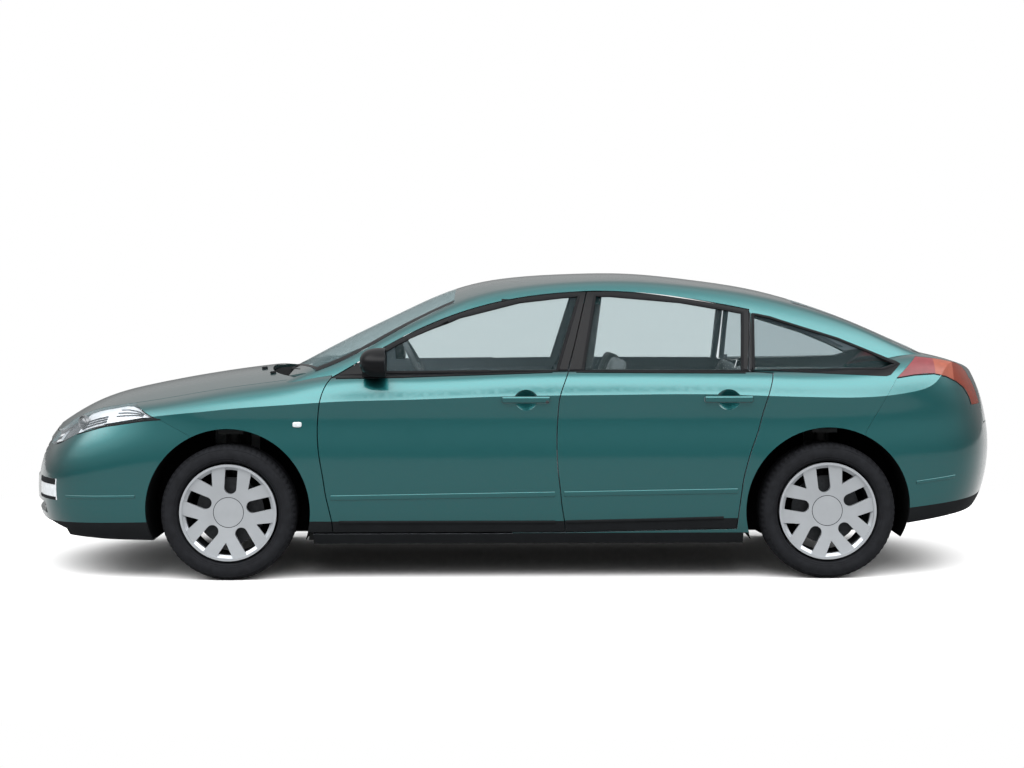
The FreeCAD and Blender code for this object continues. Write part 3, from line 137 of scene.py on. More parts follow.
def added(tree: Tree, kind: str, inputs: dict[str | int, Any], **settings: Any) -> bpy.types.bpy_prop_collection:
    """Adds one node with its settings and inputs.

    Args:
        tree: The node tree.
        kind: The node's kind.
        inputs: Values or sockets for its inputs, by name or number.
        settings: The node's own settings.

    Returns:
        The node's outputs.
    """
    node = tree.nodes.new(f"ShaderNode{kind}")
    for name, value in settings.items():
        setattr(node, name, value)
    for name, value in inputs.items():
        if isinstance(value, Socket):
            tree.links.new(value, node.inputs[name])
        else:
            node.inputs[name].default_value = value
    return node.outputs


def math_node(tree: Tree, operation: str, *values: float | Socket) -> Socket:
    """Adds one sum, of numbers or sockets, to a node tree."""
    return added(tree, "Math", dict(enumerate(values)), operation=operation)["Value"]


def blend(tree: Tree, share: Socket, first: Socket, second: Socket) -> Socket:
    """Adds a mix of two surfaces: the first at share 0 and the second at share 1."""
    return added(tree, "MixShader", {0: share, 1: first, 2: second})["Shader"]


def place_on(tree: Tree, kind: str = "Object") -> Socket:
    """Adds the node of the place on a piece, or of another kind of coordinates."""
    return added(tree, "TexCoord", {})[kind]


def coordinates(tree: Tree, kind: str = "Object") -> bpy.types.bpy_prop_collection:
    """Adds the nodes that split coordinates into the sockets X, Y and Z."""
    return added(tree, "SeparateXYZ", {"Vector": place_on(tree, kind)})


def facing(tree: Tree, share: float = 0.5) -> Socket:
    """Adds the node that tells how far a face is turned away from the eye."""
    return added(tree, "LayerWeight", {"Blend": share})["Facing"]


def made_once(name: str, dress: Callable[[Tree], Socket]) -> bpy.types.Material:
    """Finds a material by its name, or makes it.

    Args:
        name: The material's name.
        dress: Adds the material's nodes and gives the socket of its surface.

    Returns:
        The material.
    """
    known = bpy.data.materials.get(name)
    if known:
        return known
    made = bpy.data.materials.new(name)
    made.use_nodes = True
    made.node_tree.nodes.clear()
    added(made.node_tree, "OutputMaterial", {"Surface": dress(made.node_tree)})
    return made


@dataclass(frozen=True)
class Finish:
    """A surface finish: one shader with mottling and grain worked out from the place on the piece."""

    name: str
    colour: Colour
    roughness: float = 0.5
    metallic: float = 0.0
    coat: float = 0.0
    coat_roughness: float = 0.05
    mottle: float = 0.12
    mottle_size: float = 14.0
    mottle_detail: float = 4.0
    mottle_span: Point = (0.3, 0.7)
    grain: float = 0.0
    grain_size: float = 900.0
    grain_detail: float = 2.0
    grain_height: float = 0.001
    alpha: float = 1.0
    specular: float = 0.5
    sheen: float = 0.0

    def values(self) -> dict[str | int, Any]:
        """The plain values of the finish's shader.

        Returns:
            The values by the names of the shader's inputs.
        """
        return {"Roughness": self.roughness, "Metallic": self.metallic, "Coat Weight": self.coat,
                "Coat Roughness": self.coat_roughness, "Specular IOR Level": self.specular,
                "Sheen Weight": self.sheen, "Alpha": self.alpha}

    def dress(self, tree: Tree) -> Socket:
        """Adds the finish's nodes to a material.

        Args:
            tree: The material's node tree.

        Returns:
            The socket that gives the finished surface.
        """
        values = self.values()
        place = place_on(tree)
        noise = {"Vector": place, "Scale": self.mottle_size, "Detail": self.mottle_detail}
        ramp = tree.nodes.new("ShaderNodeValToRGB")
        for element, position, share in zip(ramp.color_ramp.elements, self.mottle_span, (-self.mottle, self.mottle)):
            element.position = position
            element.color = (*(min(c * (1 + share), 1) for c in self.colour), 1)
        tree.links.new(added(tree, "TexNoise", noise)["Fac"], ramp.inputs["Fac"])
        values["Base Color"] = ramp.outputs["Color"]
        if self.grain:
            fine = {"Vector": place, "Scale": self.grain_size, "Detail": self.grain_detail}
            bump = {"Strength": self.grain, "Distance": self.grain_height,
                    "Height": added(tree, "TexNoise", fine)["Fac"]}
            values["Normal"] = added(tree, "Bump", bump)["Normal"]
        return added(tree, "BsdfPrincipled", values)["BSDF"]

    def material(self) -> bpy.types.Material:
        """The Blender material of this finish, made once."""
        return made_once(self.name, self.dress)


@dataclass(frozen=True)
class TintedPane(Finish):
    """A thin pane: what lies behind shows through its tint, under a sheen that grows towards its edge-on view."""

    tint: Colour = (0.9, 0.9, 0.9)
    haze: float = 0.05
    edge_sheen: float = 0.45
    edge_power: float = 4.0

    def dress(self, tree: Tree) -> Socket:
        """Adds the pane's nodes to a material.

        Args:
            tree: The material's node tree.

        Returns:
            The socket that gives the finished surface.
        """
        pane = added(tree, "BsdfTransparent", {"Color": (*self.tint, 1)})["BSDF"]
        grazing = math_node(tree, "POWER", facing(tree), self.edge_power)
        share = math_node(tree, "MULTIPLY_ADD", grazing, self.edge_sheen, self.haze)
        return blend(tree, share, pane, super().dress(tree))


@dataclass(frozen=True)
class FlakePaint(Finish):
    """Metallic paint under a clear coat: it darkens as it turns away, with fine flakes in it."""

    edge_colour: Colour = (0.0, 0.0, 0.0)
    flop: float = 0.35
    flake_size: float = 1600.0
    flake_depth: float = 0.05
    flake_height: float = 0.0004

    def dress(self, tree: Tree) -> Socket:
        """Adds the paint's nodes to a material.

        Args:
            tree: The material's node tree.

        Returns:
            The socket that gives the finished surface.
        """
        flop = {"Factor": facing(tree, self.flop), "A": (*self.colour, 1), "B": (*self.edge_colour, 1)}
        base = added(tree, "Mix", flop, data_type="RGBA")["Result"]
        flakes = added(tree, "TexVoronoi", {"Vector": place_on(tree), "Scale": self.flake_size})
        sparkle = {"Factor": self.mottle, "A": base, "B": flakes["Color"]}
        bump = {"Strength": self.flake_depth, "Distance": self.flake_height, "Height": flakes["Distance"]}
        values = self.values()
        values["Base Color"] = added(tree, "Mix", sparkle, data_type="RGBA", blend_type="OVERLAY")["Result"]
        values["Normal"] = added(tree, "Bump", bump)["Normal"]
        return added(tree, "BsdfPrincipled", values)["BSDF"]


@dataclass(frozen=True)
class SplitLine:
    """A nearly level line on the car's side; its mask takes all that lies above the line."""

    height: float
    slope: float = 0.0
    start_x: float = 0.0

    def mask(self, tree: Tree) -> Socket:
        """Adds the nodes of the mask.

        Args:
            tree: The material's node tree.

        Returns:
            The socket that gives 1 above the line and 0 below it.
        """
        place = coordinates(tree)
        line = math_node(tree, "MULTIPLY_ADD", place["X"], self.slope, self.height - self.slope * self.start_x)
        return math_node(tree, "GREATER_THAN", place["Z"], line)


@dataclass(frozen=True)
class SideReach:
    """A distance from the car's middle; its mask takes all that lies farther out."""

    distance: float

    def mask(self, tree: Tree) -> Socket:
        """The socket that gives 1 farther out and 0 farther in."""
        reach = math_node(tree, "ABSOLUTE", coordinates(tree)["Y"])
        return math_node(tree, "GREATER_THAN", reach, self.distance)


@dataclass(frozen=True)
class LengthReach:
    """A place along the car; its mask takes all that lies farther back."""

    place: float

    def mask(self, tree: Tree) -> Socket:
        """The socket that gives 1 farther back and 0 farther forward."""
        return math_node(tree, "GREATER_THAN", coordinates(tree)["X"], self.place)


@dataclass(frozen=True)
class PostBand:
    """The stretch along the car and between two heights where the door posts stand."""

    first: float
    last: float
    low: float
    high: float
    high_slope: float

    def mask(self, tree: Tree) -> Socket:
        """Adds the nodes of the mask.

        Args:
            tree: The material's node tree.

        Returns:
            The socket that gives 1 on the posts and 0 elsewhere.
        """
        place = coordinates(tree)
        top = math_node(tree, "MULTIPLY_ADD", place["X"], self.high_slope, self.high)
        along = math_node(tree, "MULTIPLY", math_node(tree, "GREATER_THAN", place["X"], self.first),
                          math_node(tree, "LESS_THAN", place["X"], self.last))
        upright = math_node(tree, "MULTIPLY", math_node(tree, "GREATER_THAN", place["Z"], self.low),
                            math_node(tree, "LESS_THAN", place["Z"], top))
        return math_node(tree, "MULTIPLY", along, upright)


@dataclass(frozen=True)
class InnerFaces:
    """The faces of a panel that look towards the middle of the cabin, and those of its shut edges."""

    middle_height: float = 0.6
    edge_share: float = 0.12

    def mask(self, tree: Tree) -> Socket:
        """Adds the nodes of the mask.

        Args:
            tree: The material's node tree.

        Returns:
            The socket that gives 1 on inner faces and 0 on outer ones.
        """
        from_middle = {0: place_on(tree), 1: (0, 1, 1), 2: (0, 0, -self.middle_height)}
        out = added(tree, "VectorMath", from_middle, operation="MULTIPLY_ADD")["Vector"]
        pair = {0: out, 1: place_on(tree, "Normal")}
        share = added(tree, "VectorMath", pair, operation="DOT_PRODUCT")["Value"]
        return math_node(tree, "LESS_THAN", share, self.edge_share)


Mask = SplitLine | SideReach | LengthReach | PostBand | InnerFaces


@dataclass(frozen=True)
class LayeredFinish:
    """A finish with another one below or inside one boundary, one above or outside a second, and a lining."""

    name: str
    middle: Finish
    lower: Optional[Finish] = None
    lower_line: Optional[Mask] = None
    upper: Optional[Finish] = None
    upper_line: Optional[Mask] = None
    lining: Optional[Finish] = None

    def dress(self, tree: Tree) -> Socket:
        """Adds the nodes of all layers to a material.

        Args:
            tree: The material's node tree.

        Returns:
            The socket that gives the finished surface.
        """
        surface = self.middle.dress(tree)
        if self.lower:
            surface = blend(tree, self.lower_line.mask(tree), self.lower.dress(tree), surface)
        if self.upper:
            surface = blend(tree, self.upper_line.mask(tree), surface, self.upper.dress(tree))
        if self.lining:
            surface = blend(tree, InnerFaces().mask(tree), surface, self.lining.dress(tree))
        return surface

    def material(self) -> bpy.types.Material:
        """The Blender material of these layers, made once."""
        return made_once(self.name, self.dress)


Dressing = Finish | LayeredFinish

PAINT = FlakePaint(
    "teal_metallic_paint", srgb(18, 88, 90), roughness=0.34, metallic=0.85, coat=1.0, coat_roughness=0.11,
    mottle=0.05, edge_colour=srgb(8, 58, 60))
BLACK_TRIM = Finish("black_grained_trim", srgb(21, 23, 25), roughness=0.72, grain=0.25, specular=0.10)
GLOSS_BLACK = Finish("gloss_black", srgb(12, 13, 15), roughness=0.3, mottle=0.05, specular=0.12)
RUBBER_SEAL = Finish("rubber_seal", srgb(16, 17, 19), roughness=0.7, grain=0.1, specular=0.12)
TYRE_RUBBER = Finish("worn_tyre_black", srgb(24, 25, 28), roughness=0.8, mottle=0.22, mottle_size=30, grain=0.35,
                     grain_size=700, specular=0.12)
WINDOW_GLASS = TintedPane("tinted_side_glass", srgb(96, 122, 126), roughness=0.04, mottle=0.03,
                          tint=(0.86, 0.895, 0.90), haze=0.035)
SCREEN_GLASS = TintedPane("tinted_screen_glass", srgb(96, 122, 126), roughness=0.04, mottle=0.03,
                          tint=(0.83, 0.87, 0.875), haze=0.07)
LAMP_GLASS = TintedPane("lamp_glass", srgb(180, 186, 190), roughness=0.04, mottle=0.02, tint=(0.94, 0.95, 0.96),
                        haze=0.04)
FOG_GLASS = Finish("fog_lamp_glass", srgb(196, 201, 204), roughness=0.15, alpha=0.96, mottle=0.1, mottle_size=60)
QUARTER_GLASS = TintedPane("dark_quarter_glass", srgb(88, 114, 118), roughness=0.04, mottle=0.03,
                           tint=(0.78, 0.82, 0.83), haze=0.05)
RED_LENS = Finish("red_lens", srgb(106, 46, 50), roughness=0.3, mottle=0.12, mottle_size=26, specular=0.3)
ORANGE_LENS = Finish("orange_lens", srgb(130, 68, 52), roughness=0.3, mottle=0.1, mottle_size=30, specular=0.3)
BRAKE_LENS = Finish("brake_lens", srgb(100, 37, 21), roughness=0.3, mottle=0.1, mottle_size=30, specular=0.3)
REFLECTOR = Finish("lamp_reflector", srgb(198, 202, 206), roughness=0.35, metallic=0.35, mottle=0.05, mottle_size=40)
RIM_SILVER = Finish("rim_silver_paint", srgb(164, 168, 172), roughness=0.36, metallic=0.6, coat=0.3, mottle=0.04,
                    grain=0.08, grain_size=1500)
LAMP_HOUSING = Finish("dark_lamp_housing", srgb(92, 98, 102), roughness=0.25, metallic=0.7, mottle=0.08,
                      mottle_size=40)
PROJECTOR_LENS = Finish("projector_lens", srgb(40, 46, 50), roughness=0.04, mottle=0.04, coat=1.0, specular=0.7)
DISC_STEEL = Finish("brake_disc_steel", srgb(52, 54, 57), roughness=0.5, metallic=0.6, mottle=0.2, mottle_size=60)
WHEEL_WELL = Finish("wheel_well_felt", srgb(14, 15, 16), roughness=0.95, mottle=0.2, grain=0.6, grain_size=500,
                    specular=0.05)
CHASSIS_BLACK = Finish("chassis_black", srgb(30, 31, 32), roughness=0.62, mottle=0.25, mottle_size=20, grain=0.2)
FLOOR_SEALER = Finish("underbody_sealer", srgb(40, 43, 44), roughness=0.8, mottle=0.25, mottle_size=9, grain=0.5,
                      grain_size=260)
DULL_STEEL = Finish("dull_exhaust_steel", srgb(120, 116, 108), roughness=0.45, metallic=0.85, mottle=0.3,
                    mottle_size=18)
CAST_ALLOY = Finish("rough_cast_alloy", srgb(140, 142, 144), roughness=0.55, metallic=0.7, mottle=0.2, grain=0.4,
                    grain_size=300)
CABIN_PLASTIC = Finish("soft_cabin_plastic", srgb(92, 94, 97), roughness=0.65, mottle=0.06, grain=0.3, grain_size=500)
SEAT_CLOTH = Finish("woven_seat_cloth", srgb(120, 122, 124), roughness=0.9, mottle=0.16, mottle_size=260, grain=0.7,
                    grain_size=900, sheen=0.4)
CABIN_TRIM = Finish("cabin_side_trim", srgb(126, 131, 137), roughness=0.8, mottle=0.06, grain=0.3, grain_size=500)
HEADLINING = Finish("headlining", srgb(150, 152, 152), roughness=0.92, mottle=0.06, grain=0.5, grain_size=700)

LOWER_DOOR_LINE = SplitLine(0.286)
REAR_COVER_LINE = SplitLine(0.2865, 0.0133, 0.2)
SILL_LINE = SplitLine(0.2255)
DOOR_PAINT = LayeredFinish("front_door_paint", PAINT, BLACK_TRIM, LOWER_DOOR_LINE, GLOSS_BLACK,
                           SplitLine(0.9985, 0.0262), CABIN_TRIM)
REAR_DOOR_PAINT = LayeredFinish("rear_door_paint", PAINT, BLACK_TRIM, REAR_COVER_LINE, GLOSS_BLACK,
                                SplitLine(1.0065, -0.0066), CABIN_TRIM)
DOOR_POST = PostBand(-0.05, 1.171, 0.99, 1.352, -0.0575)
SIDE_PAINT = LayeredFinish("body_side_paint", PAINT, BLACK_TRIM, SILL_LINE, GLOSS_BLACK, DOOR_POST, CABIN_TRIM)
ROOF_PAINT = LayeredFinish("roof_paint", PAINT, lining=HEADLINING)
WING_PAINT = LayeredFinish("front_wing_paint", PAINT, BLACK_TRIM, LOWER_DOOR_LINE)
# Inboard of the side reach the rims take the brake disc's dark steel: real on the discs, painted shade on the barrels
# behind the spokes.
FRONT_RIM_DISC_AND_BARREL_SHADE = LayeredFinish("front_rim_and_disc", RIM_SILVER, DISC_STEEL, SideReach(0.836))
REAR_RIM_DISC_AND_BARREL_SHADE = LayeredFinish("rear_rim_and_disc", RIM_SILVER, DISC_STEEL, SideReach(0.822))
MIRROR_SHELL = LayeredFinish("mirror_shell", GLOSS_BLACK, BLACK_TRIM, SplitLine(1.012))
TAIL_LENS = LayeredFinish("tail_lamp_lens", ORANGE_LENS, RED_LENS, LengthReach(2.055), BRAKE_LENS, LengthReach(2.155))
NOSE_PAINT = LayeredFinish("front_bumper_paint", PAINT, BLACK_TRIM, SplitLine(0.272, 0.021, -2.331))
TAIL_PAINT = LayeredFinish("rear_bumper_paint", PAINT, BLACK_TRIM, SplitLine(0.341, 0.105, 1.914))


class Surface:
    """The outer surface of some CAD nodes, probed with straight rays."""

    reach = 3.0

    def __init__(self, names: Iterable[str]) -> None:
        """Gathers the nodes' faces.

        Args:
            names: The CAD nodes' names.
        """
        points: list[Vector] = []
        faces: list[tuple[int, ...]] = []
        for name in names:
            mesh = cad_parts[name].data
            start = len(points)
            points += [v.co.copy() for v in mesh.vertices]
            faces += [tuple(start + i for i in p.vertices) for p in mesh.polygons]
        self.tree = BVHTree.FromPolygons(points, faces)

    def hit(self, origin: Vector, way: Vector, limit: float = 6.0) -> Optional[Place]:
        """The first place where a ray meets the surface.

        Args:
            origin: Where the ray starts.
            way: The direction of the ray.
            limit: How far the ray reaches.

        Returns:
            The place and the outward normal, or None.
        """
        place, normal, _, _ = self.tree.ray_cast(origin, way, limit)
        if place is None:
            return None
        return place, normal if normal.dot(way) < 0 else -normal

    def at(self, probe: Probe, a: float, b: float) -> Optional[Place]:
        """The surface as seen from one side of the car.

        Args:
            probe: From where the surface is probed.
            a: x from the side and from the top, y from the nose.
            b: y from the top, z from elsewhere.

        Returns:
            The place and the outward normal, or None.
        """
        rays = {
            Probe.SIDE: (Vector((a, -self.reach, b)), Vector((0, 1, 0))),
            Probe.TOP: (Vector((a, b, self.reach)), Vector((0, 0, -1))),
            Probe.NOSE: (Vector((-self.reach * 2, a, b)), Vector((1, 0, 0))),
        }
        return self.hit(*rays[probe])


def straight_line(points: Sequence[Point], step: float) -> list[Point]:
    """Points at about one step along straight runs.

    Args:
        points: The corners of the runs.
        step: The distance between points.

    Returns:
        The points along the runs.
    """
    result = [points[0]]
    for p, q in zip(points, points[1:]):
        start, end = Vector(p), Vector(q)
        pieces = max(1, round((end - start).length / step))
        result += [tuple(start.lerp(end, (k + 1) / pieces)) for k in range(pieces)]
    return result


def at_x(line: Sequence[Point], x: float) -> float:
    """The height of a line at a place along the car.

    Args:
        line: Points with rising x.
        x: The place along the car.

    Returns:
        The height there.
    """
    if x <= line[0][0]:
        return line[0][1]
    for (x0, z0), (x1, z1) in zip(line, line[1:]):
        if x <= x1:
            return z0 + (z1 - z0) * (x - x0) / (x1 - x0)
    return line[-1][1]


def stretch(line: Sequence[Point], ends: Point) -> list[Point]:
    """The part of a line between two places along the car, with the place halfway."""
    return [(x, at_x(line, x)) for x in (ends[0], sum(ends) / 2, ends[1])]


def outward(outline: Sequence[Point], distance: float, sharpest: float = 0.5) -> list[Point]:
    """Moves a closed outline outward.

    Args:
        outline: The outline's corners.
        distance: How far it moves.
        sharpest: Keeps a sharp corner from moving too far.

    Returns:
        The moved corners.
    """
    count = len(outline)
    area = sum(p[0] * q[1] - q[0] * p[1] for p, q in zip(outline, [*outline[1:], outline[0]]))
    side = distance if area > 0 else -distance
    moved = []
    for i, point in enumerate(outline):
        before, here, after = Vector(outline[i - 1]), Vector(point), Vector(outline[(i + 1) % count])
        first = (here - before).normalized()
        second = (after - here).normalized()
        normals = [Vector((edge.y, -edge.x)) for edge in (first, second)]
        fold = max(1 + normals[0].dot(normals[1]), sharpest)
        moved.append(tuple(here + (normals[0] + normals[1]) * side / fold))
    return moved


def spaced(outline: Sequence[Point], count: int) -> list[Point]:
    """Evenly spaced points round a closed outline.

    Args:
        outline: The outline's corners.
        count: How many points the result has.

    Returns:
        The points, starting at the first corner.
    """
    corners = [Vector(p) for p in [*outline, outline[0]]]
    lengths = [(b - a).length for a, b in zip(corners, corners[1:])]
    whole = sum(lengths)
    result = []
    for k in range(count):
        left = whole * k / count
        i = 0
        while left > lengths[i]:
            left -= lengths[i]
            i += 1
        result.append(tuple(corners[i].lerp(corners[i + 1], left / lengths[i])))
    return result


def shares(points: Sequence[Point]) -> list[Point]:
    """Turns shares of the car's length and height into metres."""
    return [(x * LENGTH, z * HEIGHT) for x, z in points]


def sharpen(obj: Piece, angle: float = FOLD_ANGLE) -> Piece:
    """Shades an object smooth with its folds kept sharp.

    Args:
        obj: The object.
        angle: The least angle of a sharp fold, in degrees.

    Returns:
        The object.
    """
    for polygon in obj.data.polygons:
        polygon.use_smooth = True
    obj.data.set_sharp_from_angle(angle=math.radians(angle))
    return obj


def linked(name: str, data: bpy.types.ID) -> Piece:
    """Makes an object of some data and puts it in the scene.

    Args:
        name: The object's name.
        data: What it shows.

    Returns:
        The new object.
    """
    obj = bpy.data.objects.new(name, data)
    bpy.context.scene.collection.objects.link(obj)
    return obj


def from_rows(name: str, rows: Rows, ring: bool = False, loop: bool = False, capped: bool = False,
              angle: float = FOLD_ANGLE) -> Piece:
    """Makes a mesh from rows of points.

    Args:
        name: The piece's name.
        rows: Rows of equally many points.
        ring: Whether each row closes on itself.
        loop: Whether the last row joins the first.
        capped: Whether the first and last rows are filled.
        angle: The least angle of a sharp fold, in degrees.

    Returns:
        The new object.
    """
    mesh = bpy.data.meshes.new(name)
    wide = len(rows[0])
    points = [tuple(p) for row in rows for p in row]
    faces = []
    for i in range(len(rows) if loop else len(rows) - 1):
        j = (i + 1) % len(rows)
        for k in range(wide if ring else wide - 1):
            n = (k + 1) % wide
            faces.append((i * wide + k, i * wide + n, j * wide + n, j * wide + k))
    if capped:
        faces.append(tuple(reversed(range(wide))))
        faces.append(tuple(range((len(rows) - 1) * wide, len(rows) * wide)))
    mesh.from_pydata(points, [], faces)
    obj = linked(name, mesh)
    welded = bmesh.new()
    welded.from_mesh(mesh)
    bmesh.ops.remove_doubles(welded, verts=welded.verts, dist=WELD_DISTANCE)
    bmesh.ops.recalc_face_normals(welded, faces=welded.faces)
    welded.to_mesh(mesh)
    welded.free()
    return sharpen(obj, angle)


def merged(name: str, objects: Sequence[Piece]) -> Piece:
    """Joins meshes into one object.

    Args:
        name: The new object's name.
        objects: The objects to join, which are used up.

    Returns:
        The joined object.
    """
    whole = bmesh.new()
    for obj in objects:
        obj.data.transform(obj.matrix_world)
        whole.from_mesh(obj.data)
        bpy.data.objects.remove(obj)
    mesh = bpy.data.meshes.new(name)
    whole.to_mesh(mesh)
    whole.free()
    return sharpen(linked(name, mesh))


def fitted(obj: Piece, body: str, finish: Dressing) -> Piece:
    """Gives a piece its finish and the body that it moves with.

    Args:
        obj: The piece.
        body: The CAD body's name.
        finish: The finish.

    Returns:
        The piece.
    """
    obj.data.materials.clear()
    obj.data.materials.append(finish.material())
    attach(obj, body)
    log.info("%s on %s in %s", obj.name, body, finish.name)
    return obj


def fitted_pair(obj: Piece, body: str, finish: Dressing) -> list[Piece]:
    """Fits a left piece and its mirror image.

    Args:
        obj: The left piece, with left in its name.
        body: The body of the left piece.
        finish: The finish.

    Returns:
        The left piece and the right piece.
    """
    mesh = obj.data.copy()
    mesh.transform(Matrix.Scale(-1, 4, Vector((0, 1, 0))))
    mesh.flip_normals()
    twin = linked(obj.name.replace(Hand.LEFT.value, Hand.RIGHT.value), mesh)
    return [fitted(obj, body, finish), fitted(twin, body.replace(Hand.LEFT.value, Hand.RIGHT.value), finish)]


def strip_section(wide: float, tall: float, sink: float, turns: int = 3, round_share: float = 0.7) -> list[Point]:
    """The section of a moulding with rounded shoulders, sunk a little into what carries it.

    Args:
        wide: The moulding's width.
        tall: How far it stands proud.
        sink: How far it reaches in.
        turns: Points on each rounded shoulder.
        round_share: How much of its height, or half its width, each shoulder rounds off.

    Returns:
        Points as (across, outward).
    """
    half = wide / 2
    radius = min(half, tall) * round_share
    section = [(-half, -sink)]
    for k in range(turns + 1):
        turn = math.pi / 2 * k / turns
        section.append((-half + radius * (1 - math.cos(turn)), tall - radius * (1 - math.sin(turn))))
    for k in range(turns + 1):
        turn = math.pi / 2 * (1 - k / turns)
        section.append((half - radius * (1 - math.cos(turn)), tall - radius * (1 - math.sin(turn))))
    section.append((half, -sink))
    return section


def moulding(name: str, path: Sequence[Place], section: Sequence[Point],
             closed: bool = False) -> Piece:
    """A moulding swept along places on a surface.

    Args:
        name: The piece's name.
        path: Places with their outward normals.
        section: The section's points as (across, outward).
        closed: Whether the moulding goes round in a loop.

    Returns:
        The new object.
    """
    rows = []
    count = len(path)
    for i, (place, normal) in enumerate(path):
        before = path[i - 1][0] if closed or i else place
        after = path[(i + 1) % count][0] if closed or i + 1 < count else place
        along = (after - before).normalized()
        out = (normal - along * normal.dot(along)).normalized()
        across = along.cross(out)
        rows.append([place + across * u + out * v for u, v in section])
    return from_rows(name, rows, ring=True, loop=closed, capped=not closed)


def on_surface(surface: Surface, probe: Probe, line: Iterable[Point]) -> list[Place]:
    """Where a line lies on a surface, leaving out what misses it."""
    found = [surface.at(probe, a, b) for a, b in line]
    return [f for f in found if f is not None]


def side_strip(name: str, surface: Surface, line: Sequence[Point], step: float, section: Section,
               closed: bool = False) -> Piece:
    """A moulding along a line on the car's side.

    Args:
        name: The piece's name.
        surface: The surface that carries it.
        line: The line's corners as (x, z).
        step: The distance between its rows of points.
        section: The moulding's width, how far it stands proud and how far it reaches in.
        closed: Whether the line ends where it starts and the moulding goes round in a loop.

    Returns:
        The new object.
    """
    points = straight_line(line, step)
    path = on_surface(surface, Probe.SIDE, points[:-1] if closed else points)
    return moulding(name, path, strip_section(*section), closed=closed)


def draped(name: str, surface: Surface, rows: Sequence[Sequence[Point]], lift: float) -> Piece:
    """A thin panel laid on a surface from above.

    Args:
        name: The piece's name.
        surface: The surface that carries it.
        rows: Rows of places as (x, y).
        lift: How far the panel's face stands off the surface.

    Returns:
        The new object.
    """
    laid = []
    last = None
    for row in rows:
        points = []
        for x, y in row:
            last = surface.at(Probe.TOP, x, y) or last
            if last:
                points.append(last[0] + last[1] * lift)
        laid.append(points)
    return from_rows(name, laid)


def between(low: Sequence[Point], high: Sequence[Point], count: int) -> list[list[Point]]:
    """Rows of places between two lines of equally many points."""
    return [[tuple(Vector(p).lerp(Vector(q), k / (count - 1))) for p, q in zip(low, high)] for k in range(count)]


def unchanged(p: Vector) -> Vector:
    """Leaves a point of a soft block where it is."""
    return p


def turned(name: str, profile: Sequence[Point], centre: Vector, segments: int, axis: Axis = Axis.Y,
           closed: bool = True) -> Piece:
    """A body of revolution.

    Args:
        name: The piece's name.
        profile: Points as (radius, place along the axis).
        centre: The centre of the axis.
        segments: How many segments go round.
        axis: The axis.
        closed: Whether the profile closes on itself.

    Returns:
        The new object.
    """
    across, up, along = axis.directions
    rows = []
    for i in range(segments):
        turn = 2 * math.pi * i / segments
        out = across * math.cos(turn) + up * math.sin(turn)
        rows.append([centre + out * r + along * t for r, t in profile])
    return from_rows(name, rows, ring=closed, loop=True)


def rounded_block(name: str, centre: Vector, size: Vector, power: float, shape: Callable[[Vector], Vector],
                  steps: int = 20) -> Piece:
    """A soft block: a ball pushed out towards its corners, then shaped.

    Args:
        name: The piece's name.
        centre: The block's centre.
        size: Its width along each axis.
        power: How square it is; 2 gives a ball.
        shape: Moves a point of the unit block, from -1 to 1 each way.
        steps: Points along each side.

    Returns:
        The new object.
    """
    whole = bmesh.new()
    bmesh.ops.create_cube(whole, size=2)
    bmesh.ops.subdivide_edges(whole, edges=whole.edges, cuts=steps, use_grid_fill=True)
    for vert in whole.verts:
        p = vert.co
        reach = (abs(p.x) ** power + abs(p.y) ** power + abs(p.z) ** power) ** (1 / power)
        p = shape(p / reach)
        vert.co = centre + Vector((p.x * size.x, p.y * size.y, p.z * size.z)) / 2
    mesh = bpy.data.meshes.new(name)
    whole.to_mesh(mesh)
    whole.free()
    return sharpen(linked(name, mesh), SOFT_FOLD_ANGLE)


@dataclass
class Panels:
    """The painted panels, floor and running gear: the CAD nodes that keep their shape."""

    painted: tuple[str, ...] = ("bonnet", "boot_lid")
    chassis: tuple[str, ...] = ("front_suspension", "rear_suspension", "front_knuckle_left", "front_knuckle_right")

    def dress(self) -> None:
        """Gives every kept node its finish."""
        finishes: dict[str, Dressing] = {name: PAINT for name in self.painted}
        finishes.update({name: CHASSIS_BLACK for name in self.chassis})
        for hand in Hand:
            finishes[f"front_door_{hand.value}"] = DOOR_PAINT
            finishes[f"rear_door_{hand.value}"] = REAR_DOOR_PAINT
            finishes[f"body_side_{hand.value}"] = SIDE_PAINT
            finishes[f"front_door_glass_{hand.value}"] = WINDOW_GLASS
            finishes[f"rear_door_glass_{hand.value}"] = WINDOW_GLASS
            finishes[f"front_wing_{hand.value}"] = WING_PAINT
            finishes[f"mirror_{hand.value}"] = MIRROR_SHELL
            finishes[f"front_rim_{hand.value}"] = FRONT_RIM_DISC_AND_BARREL_SHADE
            finishes[f"rear_rim_{hand.value}"] = REAR_RIM_DISC_AND_BARREL_SHADE
        finishes.update({
            "roof_panel": ROOF_PAINT, "front_bumper": NOSE_PAINT, "rear_bumper": TAIL_PAINT, "grille": BLACK_TRIM,
            "headlamps": LAMP_GLASS, "tail_lamps": TAIL_LENS, "quarter_glasses": QUARTER_GLASS,
            "windscreen": SCREEN_GLASS, "rear_window": SCREEN_GLASS, "wheel_liners": WHEEL_WELL,
            "fog_lamps": FOG_GLASS, "floor_pan": FLOOR_SEALER, "front_frame": FLOOR_SEALER,
            "boot_floor": FLOOR_SEALER, "exhaust": DULL_STEEL, "engine_block": CAST_ALLOY,
            "dashboard": CABIN_PLASTIC, "steering_wheel": CABIN_PLASTIC, "cowl_panel": WHEEL_WELL,
        })
        for name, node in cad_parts.items():
            finish = finishes.get(name, BLACK_TRIM)
            node.data.materials.clear()
            node.data.materials.append(finish.material())
            log.info("%s keeps its shape, in %s", name, finish.name)


